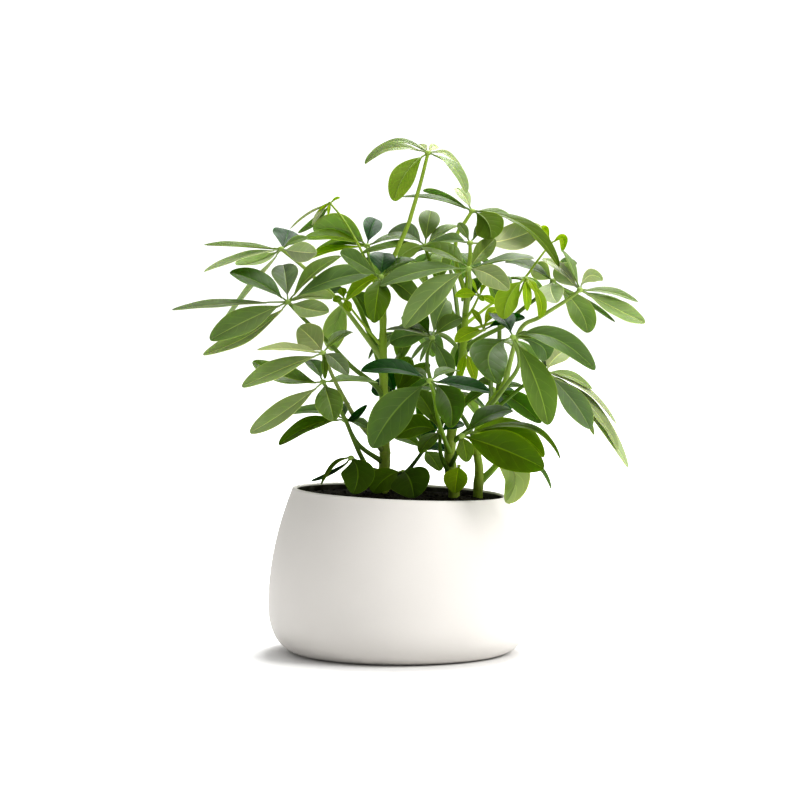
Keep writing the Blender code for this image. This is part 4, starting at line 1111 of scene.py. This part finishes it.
stems = {
    "sides": 20, "steps": 96, "sunkSteps": 6, "knuckle": 0.16, "knuckleLength": 5.0,
    "scar": 0.05, "scarSpacing": 17.0, "scarOffset": 4.0, "scarLength": 1.1, "wobble": 0.03,
    "wobbleWave": 0.12, "footAge": 0.75, "ageing": 1.1, "scarAge": 0.3, "cloudAge": 0.4,
    "colours": {"young": (0.26, 0.42, 0.020), "old": (0.25, 0.34, 0.022), "scar": (0.38, 0.40, 0.11)},
    "cloudScale": 90.0, "grainScale": 1100.0, "dotScale": 520.0, "dotFrom": 0.62, "dotTo": 0.70,
    "dotShare": 0.55, "roughness": 0.45, "roughSpread": 0.15, "relief": 0.0003, "reliefStrength": 0.6,
}


def makeBark(mottle):
    material, tree, shader = startMaterial("youngBark")
    place, marks = markPlace(tree, mottle, stems)
    age = addNode(tree, "ShaderNodeAttribute", attribute_name="age").outputs["Fac"]
    tone = mixColours(tree, doMath(tree, "MULTIPLY_ADD", marks["Cloud"], stems["cloudAge"], age, clamp=True),
                      stems["colours"]["young"], stems["colours"]["old"])
    dots = smoothStep(tree, noiseAt(tree, place, stems["dotScale"], detail=2.0), stems["dotFrom"],
                      stems["dotTo"])
    tone = mixColours(tree, doMath(tree, "MULTIPLY", dots, stems["dotShare"]), tone, stems["colours"]["scar"])
    tree.links.new(tone, shader.inputs["Base Color"])
    rough = doMath(tree, "MULTIPLY_ADD", marks["Grain"], stems["roughSpread"], stems["roughness"])
    tree.links.new(rough, shader.inputs["Roughness"])
    bumpInto(tree, shader, doMath(tree, "ADD", marks["Grain"], dots), stems)
    return material


def makeStem(name, joints, bark):
    places, foot, top = stemPlaces[name]
    sunk = stems["sunkSteps"]
    route = smoothRoute([seenAt(*place) for place in places], stems["steps"])
    low = route[0] - Vector((0, 0, growth["holeDepth"]))
    route = [low.lerp(route[0], k / sunk) for k in range(sunk)] + route
    radii, ages = [], []
    run = 0.0
    for i, point in enumerate(route):
        share = max(i - sunk, 0) / stems["steps"]
        if i > sunk:
            run += (point - route[i - 1]).length
        swell = sum(math.exp(-((point.z - joint) / stems["knuckleLength"]) ** 2) for joint in joints)
        scar = math.exp(-((run % stems["scarSpacing"] - stems["scarOffset"]) / stems["scarLength"]) ** 2)
        wobble = stems["wobble"] * noise.noise(point * stems["wobbleWave"])
        radii.append((foot + (top - foot) * share)
                     * (1 + stems["knuckle"] * min(swell, 1.0) + stems["scar"] * scar + wobble))
        ages.append(max(0.0, stems["footAge"] - stems["ageing"] * share + stems["scarAge"] * scar))
    points, faces = tube(route, radii, stems["sides"])
    item = addPiece(name.replace("_", "") + "Bark", points, faces, bark, sharp=50.0)
    mark = item.data.attributes.new("age", "FLOAT", "POINT")
    mark.data.foreach_set("value", [age for age in ages for _ in range(stems["sides"])])
    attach(item, "root")
    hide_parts(name)


# Leaves: each leaflet's tint is one of these colours of its upper side, linear. Besides the leaflets' own
# greens they hold painted light and shade: dark tints for shaded leaflets, pale and grey ones as painted
# sheen on lit leaflets

leafTints = {
    "k": (0.004, 0.033, 0.001),  # almost black, in shade
    "d": (0.035, 0.067, 0.002),  # dark green, partly painted shade
    "m": (0.075, 0.12, 0.033),  # middle
    "f": (0.11, 0.16, 0.033),  # fresh
    "o": (0.078, 0.12, 0.009),  # olive
    "l": (0.21, 0.31, 0.012),  # young, lime
    "g": (0.14, 0.2, 0.07),  # grey green, with painted sheen
    "p": (0.31, 0.36, 0.17),  # pale, painted sheen and light
    "w": (0.42, 0.48, 0.28),  # palest, washed out by light
    "y": (0.27, 0.41, 0.01),  # young, yellow lime
    "n": (0.057, 0.1, 0.001),  # deep green, partly painted shade
    "s": (0.21, 0.27, 0.11),  # silvery, painted sheen
    "b": (0.12, 0.15, 0.08),  # bluish grey, painted sheen
    "v": (0.11, 0.18, 0.001),  # vivid
}

leaves = {
    "along": 52, "columns": (0.0, 0.03, 0.10, 0.28, 0.50, 0.73, 0.90, 1.0), "outline": (0.98, 0.42),
    "footBunching": 0.95, "tipBunching": 1.25, "footShare": 0.7, "smallestHalf": 0.55,
    "thickness": 0.62, "edgeThickness": 0.3, "fold": 0.2, "foldEasing": 0.25, "groove": 0.12,
    "grooveWidth": 0.06, "grooveFull": 6.0, "wave": 0.04, "waves": 1.6, "wavesSpread": 0.6,
    "sideLag": 1.3, "lean": 0.05, "shadeSpread": 0.10, "warmSpread": 0.05,
    "ribRadius": 0.75, "ribTip": 0.12, "ribTaper": 0.8, "ribSides": 8, "ribEvery": 3, "ribSunk": 0.6,
    "ribMost": 0.95, "ribSettle": 6, "stemRings": 7, "stemSwell": 0.75, "swellRings": 1.3, "stemSlack": 0.92,
    "lastSlack": 0.85, "ribShare": 0.4, "ribColour": (0.30, 0.45, 0.08),
}

leafSurface = {
    "grown": {"roughness": 0.38, "sideVeins": 0.18}, "young": {"roughness": 0.34, "sideVeins": 0.16},
    "midrib": 0.9, "edge": 0.7, "veinPairs": 6.0, "veinSweep": 1.7, "veinWander": 1.1, "wanderScale": 45.0,
    "lineTone": (2.5, 2.35, 1.9), "lineLift": (0.016, 0.026, 0.003),
    "under": (0.27, 0.36, 0.06), "underShare": 0.2, "underRoughness": 0.2, "cloudRoughness": 0.08,
    "shade": (0.66, 0.72, 0.55), "shadeShare": 0.3, "cloudScale": 55.0, "grainScale": 1600.0,
    "relief": 0.00025, "reliefStrength": 0.32, "veinDepth": 0.55, "midribDepth": 0.8, "grainHeight": 0.04,
    "specular": 0.09, "throughWeight": 0.25, "throughRadius": (0.6, 1.0, 0.12),
    "throughScale": 0.004,
}


def spread(seed):
    # a settled number from -1 to 1 for each seed
    return math.sin(seed * 12.9898 + 4.1) * 43758.5453 % 2 - 1


class leafSkin:
    # gathers one leaf's points and faces with their maps and tints

    def __init__(self):
        self.points, self.faces, self.slots = [], [], []
        self.maps, self.tints, self.under = [], [], []

    def add(self, points, faces, maps, tint, under, slot):
        first = len(self.points)
        self.points += points
        self.faces += [tuple(first + k for k in face) for face in faces]
        self.slots += [slot] * len(faces)
        self.maps += maps
        self.tints += [tint] * len(points)
        self.under += under

    def addStalkPart(self, points, faces, tint):
        self.add(points, faces, [(0.0, 0.5)] * len(points), tint, [0.0] * len(points), 1)


def bladeTint(item, seed):
    # a little lighter or darker, and warmer or cooler, from leaflet to leaflet
    red, green, blue = leafTints[item["tint"]]
    shade = 1.0 + leaves["shadeSpread"] * spread(seed)
    warm = 1 + leaves["warmSpread"] * spread(seed + 3)
    return (red * shade * warm, green * shade, blue * shade, 1.0)


def towards(colour, other, share):
    # a colour that share of the way to another
    return tuple(c + (o - c) * share for c, o in zip(colour, other)) + (1.0,)


def bladeSpread(item, v, along, half, seed):
    # how far a point of the blade lies beside its middle line, and above it
    off = abs(v)
    dip = (leaves["groove"] * math.exp(-(off / leaves["grooveWidth"]) ** 2)
           * min(half / leaves["grooveFull"], 1.0))
    roll = item["curl"]
    if roll:
        return half * math.sin(v * roll) / roll, half * (1 - math.cos(v * roll)) / roll - dip
    ease = leaves["foldEasing"]
    rise = half * leaves["fold"] * ((1 + ease) * off - ease * off ** 3)
    waves = leaves["waves"] + leaves["wavesSpread"] * spread(seed + 2)
    swing = math.sin(math.tau * waves * along + spread(seed + 1) * math.pi + (v > 0) * leaves["sideLag"])
    ripple = half * leaves["wave"] * off ** 2 * swing
    lean = leaves["lean"] * spread(seed + 5)
    return half * v * (1 + lean * v * math.sin(math.pi * along)), rise + ripple - dip


def bladeFaces(steps, count):
    # upper and lower skin, both edges, foot and tip of a blade of so many rings and columns
    faces = []
    base, end = steps * count, 2 * steps * count
    for i in range(steps - 1):
        for j in range(count - 1):
            a = i * count + j
            faces.append((a, a + 1, a + count + 1, a + count))
            faces.append((base + a, base + a + count, base + a + count + 1, base + a + 1))
        a, b = i * count, i * count + count - 1
        faces.append((a, a + count, base + a + count, base + a))
        faces.append((b, base + b, base + b + count, b + count))
    last = (steps - 1) * count
    for j in range(count - 1):
        faces.append((last + j, last + j + 1, end))
        faces.append((base + last + j + 1, base + last + j, end))
        faces.append((j + 1, j, base + j, base + j + 1))
    faces.append((last, end, base + last))
    faces.append((last + count - 1, base + last + count - 1, end))
    return faces


def addBlade(skin, item, seed):
    start, middle, tip, root = item["start"], item["middle"], item["tip"], item["root"]
    tint = bladeTint(item, seed)
    columns = [-c for c in leaves["columns"][:0:-1]] + list(leaves["columns"])
    steps = leaves["along"]
    top, low, maps, ribs = [], [], [], []
    for i in range(steps):
        along = 1 - (1 - (i / steps) ** leaves["footBunching"]) ** leaves["tipBunching"]
        share = root * leaves["footShare"] + (1 - root * leaves["footShare"]) * along
        at = leafletPath(start, middle, tip, share)
        way = leafletWay(start, middle, tip, share)
        normal = squareTo(way, item["normal"])
        side = way.cross(normal)
        half = max(item["width"] / 2 * outlineAt(along, *leaves["outline"]), leaves["smallestHalf"])
        ribs.append((at, normal))
        for v in columns:
            beside, above = bladeSpread(item, v, along, half, seed)
            deep = leaves["thickness"] + (leaves["edgeThickness"] - leaves["thickness"]) * abs(v) ** 2
            spot = at + side * beside + normal * above
            top.append(spot + normal * (deep / 2))
            low.append(spot - normal * (deep / 2))
            maps.append((along, v * 0.5 + 0.5))
    under = [0.0] * len(top) + [1.0] * len(low) + [0.5]
    skin.add(top + low + [tip], bladeFaces(steps, len(columns)), maps + maps + [(1.0, 0.5)], tint, under, 0)
    addRib(skin, item, ribs, tint)


def addRib(skin, item, ribs, tint):
    # the leaflet's own little stalk, which runs on as the rib under the blade
    start, middle, tip, root = item["start"], item["middle"], item["tip"], item["root"]
    foot, rings = growth["rootRadius"], leaves["stemRings"]
    route, radii = [], []
    for k in range(rings):
        share = root * leaves["footShare"] * k / rings
        swell = 1.0 + leaves["stemSwell"] * math.exp(-k / leaves["swellRings"])
        route.append(leafletPath(start, middle, tip, share))
        radii.append(foot * swell * (leaves["stemSlack"] if k < rings - 1 else leaves["lastSlack"]))
    for i in range(0, len(ribs) - 2, leaves["ribEvery"]):
        at, normal = ribs[i]
        radius = leaves["ribRadius"] * (1 - i / len(ribs)) ** leaves["ribTaper"] + leaves["ribTip"]
        under = leaves["thickness"] * 0.5 * min(i / leaves["ribSettle"], 1.0)
        route.append(at - normal * (under + radius * leaves["ribSunk"]))
        radii.append(min(radius, leaves["ribMost"] * foot))
    skin.addStalkPart(*tube(route, radii, leaves["ribSides"]),
                      towards(tint, leaves["ribColour"], leaves["ribShare"]))


# Leaf stalks

stalks = {
    # the stalk tints go with where each leaf sits: black and dark for the low, inner leaves and pale for the
    # outer ones, painted shade and light on the stalks' greens
    "colours": {
        "lime": (0.356, 0.502, 0.061), "mid": (0.123, 0.203, 0.025), "green": (0.228, 0.343, 0.057),
        "dark": (0.092, 0.185, 0.006), "black": (0.042, 0.094, 0.005), "pale": (0.345, 0.466, 0.110),
        "olive": (0.164, 0.281, 0.016), "grey": (0.191, 0.250, 0.064),
    },
    "sides": 12, "fineness": 5, "sheath": 0.25, "sheathFrom": 4.0, "sheathFade": 6.0, "hubRings": 7,
    "hubSize": 0.86, "hubFlatness": 0.8, "hub": (0.36, 0.50, 0.12), "hubShare": 0.7,
    "roughness": 0.42, "roughSpread": 0.12, "shade": (0.60, 0.68, 0.50), "shadeShare": 0.5,
    "cloudScale": 70.0, "grainScale": 1400.0, "relief": 0.0002, "reliefStrength": 0.4, "specular": 0.2,
}


def addHub(skin, hub, radius, tint):
    # the knob from which the leaflets spread, a little flattened
    rings, around = stalks["hubRings"], stalks["sides"]
    squash = stalks["hubFlatness"]
    points, faces = [hub + Vector((0, 0, radius * squash))], []
    for i in range(1, rings):
        tilt = math.pi * i / rings
        for k in range(around):
            angle = math.tau * k / around
            points.append(hub + Vector((math.sin(tilt) * math.cos(angle), math.sin(tilt) * math.sin(angle),
                                        math.cos(tilt) * squash)) * radius)
    points.append(hub - Vector((0, 0, radius * squash)))
    last = 1 + (rings - 2) * around
    for k in range(around):
        n = (k + 1) % around
        faces.append((0, 1 + k, 1 + n))
        for i in range(rings - 2):
            a = 1 + i * around
            faces.append((a + k, a + around + k, a + around + n, a + n))
        faces.append((last + k, len(points) - 1, last + n))
    skin.addStalkPart(points, faces, towards(tint, stalks["hub"], stalks["hubShare"]))


def addStalk(skin, plan):
    # the leaf's stalk with its sheath at the stem, and its hub
    steps = stepsFor(plan["places"]) * stalks["fineness"]
    route = smoothRoute(plan["places"], steps)
    foot, top = growth["stalkFoot"] * plan["slim"], growth["stalkTop"] * plan["slim"]
    run, radii = 0.0, []
    for i in range(steps + 1):
        if i:
            run += (route[i] - route[i - 1]).length
        sheath = stalks["sheath"] * math.exp(-max(run - stalks["sheathFrom"], 0.0) / stalks["sheathFade"])
        radii.append((foot + (top - foot) * i / steps) * (1 + sheath))
    tint = stalks["colours"][plan["stalkTint"]]
    skin.addStalkPart(*tube(route, radii, stalks["sides"]), tint + (1.0,))
    addHub(skin, plan["point"], growth["hubRadius"] * plan["slim"] * stalks["hubSize"], tint)


def makeLeafMaterial(name, veins, mottle, finish):
    look = leafSurface
    material, tree, shader = startMaterial(name)
    place, marks = markPlace(tree, mottle, look)
    split = addNode(tree, "ShaderNodeSeparateXYZ")
    tree.links.new(addNode(tree, "ShaderNodeUVMap", uv_map="leafMap").outputs[0], split.inputs[0])
    tint = addNode(tree, "ShaderNodeAttribute", attribute_name="tint").outputs["Color"]
    under = addNode(tree, "ShaderNodeAttribute", attribute_name="under").outputs["Fac"]
    wander = doMath(tree, "MULTIPLY", noiseAt(tree, place, look["wanderScale"], detail=1.0),
                    look["veinWander"])
    ribs = placeGroup(tree, veins, Along=split.outputs[0], Across=split.outputs[1],
                      Pairs=look["veinPairs"], Sweep=look["veinSweep"], Wander=wander)
    dull = mixColours(tree, look["underShare"], tint, look["under"])
    tone = mixColours(tree, under, tint, dull)
    tone = mixColours(tree, doMath(tree, "MULTIPLY", marks["Cloud"], look["shadeShare"]), tone,
                      mixColours(tree, 1.0, tone, look["shade"], "MULTIPLY"))
    pale = mixColours(tree, 1.0, mixColours(tree, 1.0, tone, look["lineTone"], "MULTIPLY"),
                      look["lineLift"], "ADD")
    lines = doMath(tree, "MAXIMUM", doMath(tree, "MULTIPLY", ribs["Side veins"], finish["sideVeins"]),
                   doMath(tree, "MAXIMUM", doMath(tree, "MULTIPLY", ribs["Midrib"], look["midrib"]),
                          doMath(tree, "MULTIPLY", ribs["Edge"], look["edge"])))
    tone = mixColours(tree, lines, tone, pale)
    tree.links.new(tone, shader.inputs["Base Color"])
    rough = doMath(tree, "MULTIPLY_ADD", under, look["underRoughness"], finish["roughness"])
    rough = doMath(tree, "MULTIPLY_ADD", marks["Cloud"], look["cloudRoughness"], rough)
    tree.links.new(rough, shader.inputs["Roughness"])
    height = doMath(tree, "MULTIPLY_ADD", ribs["Side veins"], -look["veinDepth"], ribs["Pillow"])
    height = doMath(tree, "MULTIPLY_ADD", marks["Grain"], look["grainHeight"], height)
    height = doMath(tree, "MULTIPLY_ADD", ribs["Midrib"], -look["midribDepth"], height)
    bumpInto(tree, shader, height, look)
    shader.inputs["Specular IOR Level"].default_value = look["specular"]
    shader.inputs["Subsurface Weight"].default_value = look["throughWeight"]
    shader.inputs["Subsurface Radius"].default_value = look["throughRadius"]
    shader.inputs["Subsurface Scale"].default_value = look["throughScale"]
    return material


def makeStalkMaterial(mottle):
    material, tree, shader = startMaterial("leafStalk")
    marks = markPlace(tree, mottle, stalks)[1]
    tint = addNode(tree, "ShaderNodeAttribute", attribute_name="tint").outputs["Color"]
    tone = mixColours(tree, doMath(tree, "MULTIPLY", marks["Cloud"], stalks["shadeShare"]), tint,
                      mixColours(tree, 1.0, tint, stalks["shade"], "MULTIPLY"))
    tree.links.new(tone, shader.inputs["Base Color"])
    rough = doMath(tree, "MULTIPLY_ADD", marks["Grain"], stalks["roughSpread"], stalks["roughness"])
    tree.links.new(rough, shader.inputs["Roughness"])
    bumpInto(tree, shader, marks["Grain"], stalks)
    shader.inputs["Specular IOR Level"].default_value = stalks["specular"]
    return material


def pieceName(node):
    words = node.split("_")
    return words[0] + "".join(word.capitalize() for word in words[1:])


def makeLeaf(plan, number, bladeMaterial, stalkMaterial):
    skin = leafSkin()
    addStalk(skin, plan)
    for item in plan["leaflets"]:
        addBlade(skin, item, number * 31 + item["number"] * 7 + 1)
    item = addPiece(pieceName(plan["name"]), skin.points, skin.faces, bladeMaterial, sharp=55.0)
    mesh = item.data
    mesh.materials.append(stalkMaterial)
    mesh.polygons.foreach_set("material_index", skin.slots)
    tint = mesh.color_attributes.new("tint", "FLOAT_COLOR", "POINT")
    tint.data.foreach_set("color", [c for colour in skin.tints for c in colour])
    under = mesh.attributes.new("under", "FLOAT", "POINT")
    under.data.foreach_set("value", skin.under)
    layer = mesh.uv_layers.new(name="leafMap")
    corners = []
    for loop in mesh.loops:
        corners += skin.maps[loop.vertex_index]
    layer.data.foreach_set("uv", corners)
    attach(item, "root")
    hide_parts(plan["name"])


# Stage and light

stage = {
    "floorRadius": 9.0, "floorColour": (0.93, 0.93, 0.925), "floorShade": (0.85, 0.85, 0.84),
    "floorRoughness": 0.9, "cloudScale": 3.0, "cloudShare": 0.03, "sides": 96,
    "glow": 0.9, "glowLight": 0.26, "glowFrom": 0.10, "glowTo": 0.26,
    "skyLight": 0.32, "skySeen": 1.06, "skyShine": 0.6, "lowShine": 0.1, "shineFrom": 0.3,
    "lights": (  # name, place, size, watts, colour
        ("keyLight", (2.2, -1.3, 2.1), 1.6, 52.0, (1.0, 0.99, 0.97)),
        ("backLight", (0.6, 2.0, 2.6), 1.8, 60.0, (1.0, 1.0, 1.0)),
        ("topLight", (0.35, 0.55, 2.4), 0.9, 34.0, (1.0, 1.0, 0.99)),
    ),
    "aim": (0.0, 0.0, 0.26),
}


def makeFloor():
    # pale paper that glows further out, so that it looks white
    around = stage["sides"]
    points = [Vector((math.cos(math.tau * k / around), math.sin(math.tau * k / around), 0.0))
              * (stage["floorRadius"] / mm) for k in range(around)]
    material, tree, shader = startMaterial("studioPaper")
    place = addNode(tree, "ShaderNodeTexCoord").outputs["Object"]
    clouds = doMath(tree, "MULTIPLY", noiseAt(tree, place, stage["cloudScale"]), stage["cloudShare"])
    tone = mixColours(tree, clouds, stage["floorColour"], stage["floorShade"])
    tree.links.new(tone, shader.inputs["Base Color"])
    shader.inputs["Roughness"].default_value = stage["floorRoughness"]
    away = addNode(tree, "ShaderNodeVectorMath", operation="LENGTH")
    tree.links.new(place, away.inputs[0])
    lit = smoothStep(tree, away.outputs["Value"], stage["glowFrom"], stage["glowTo"])
    tree.links.new(mixColours(tree, lit, (0.0, 0.0, 0.0), (1.0, 1.0, 1.0)), shader.inputs["Emission Color"])
    seen = addNode(tree, "ShaderNodeLightPath").outputs["Is Camera Ray"]
    glow = doMath(tree, "MULTIPLY_ADD", seen, stage["glow"] - stage["glowLight"], stage["glowLight"])
    tree.links.new(glow, shader.inputs["Emission Strength"])
    floor = addPiece("studioFloor", points, [tuple(range(around))], material)


def makeSky():
    # white to the eye, softer as light, and brighter overhead in shiny surfaces
    world = bpy.data.worlds.new("studioSky")
    bpy.context.scene.world = world
    world.use_nodes = True
    tree = world.node_tree
    sky = tree.nodes["Background"]
    sky.inputs["Color"].default_value = (1.0, 1.0, 1.0, 1.0)
    ray = addNode(tree, "ShaderNodeLightPath").outputs
    level = doMath(tree, "MULTIPLY_ADD", ray["Is Camera Ray"], stage["skySeen"] - stage["skyLight"],
                   stage["skyLight"])
    height = addNode(tree, "ShaderNodeSeparateXYZ")
    tree.links.new(addNode(tree, "ShaderNodeTexCoord").outputs["Generated"], height.inputs[0])
    above = smoothStep(tree, height.outputs[2], stage["shineFrom"], 1.0)
    shine = doMath(tree, "MULTIPLY_ADD", above, stage["skyShine"], stage["lowShine"] - stage["skyLight"])
    strength = doMath(tree, "ADD", doMath(tree, "MULTIPLY", ray["Is Glossy Ray"], shine), level)
    tree.links.new(strength, sky.inputs["Strength"])


def makeLights():
    for name, place, size, watts, colour in stage["lights"]:
        data = bpy.data.lights.new(name, "AREA")
        data.shape, data.size, data.energy, data.color = "DISK", size, watts, colour
        light = bpy.data.objects.new(name, data)
        light.location = place
        light.rotation_euler = (Vector(stage["aim"]) - light.location).to_track_quat("-Z", "Y").to_euler()
        bpy.context.scene.collection.objects.link(light)
    view = bpy.context.scene.view_settings
    view.view_transform = "Standard"
    view.look = "Medium High Contrast"


# Build

mottle = makeMottleGroup()
veins = makeVeinsGroup()
makePot(mottle)
print("pot made")
makeSoil(mottle)
print("soil made")
plans = growPlan()
print("leaves placed:", sum(len(plan["leaflets"]) for plan in plans))
bark = makeBark(mottle)
for name in stemPlaces:
    makeStem(name, [stemPoint(name, plan["joint"]).z for plan in plans if plan["stem"] == name], bark)
print("stems made")
leafMaterial = makeLeafMaterial("leafGreen", veins, mottle, leafSurface["grown"])
youngMaterial = makeLeafMaterial("youngLeafGreen", veins, mottle, leafSurface["young"])
stalkMaterial = makeStalkMaterial(mottle)
for number, plan in enumerate(plans):
    young = plan["name"].startswith("young")
    makeLeaf(plan, number, youngMaterial if young else leafMaterial, stalkMaterial)
print("leaves made")
makeFloor()
makeSky()
makeLights()
print("stage and light made")
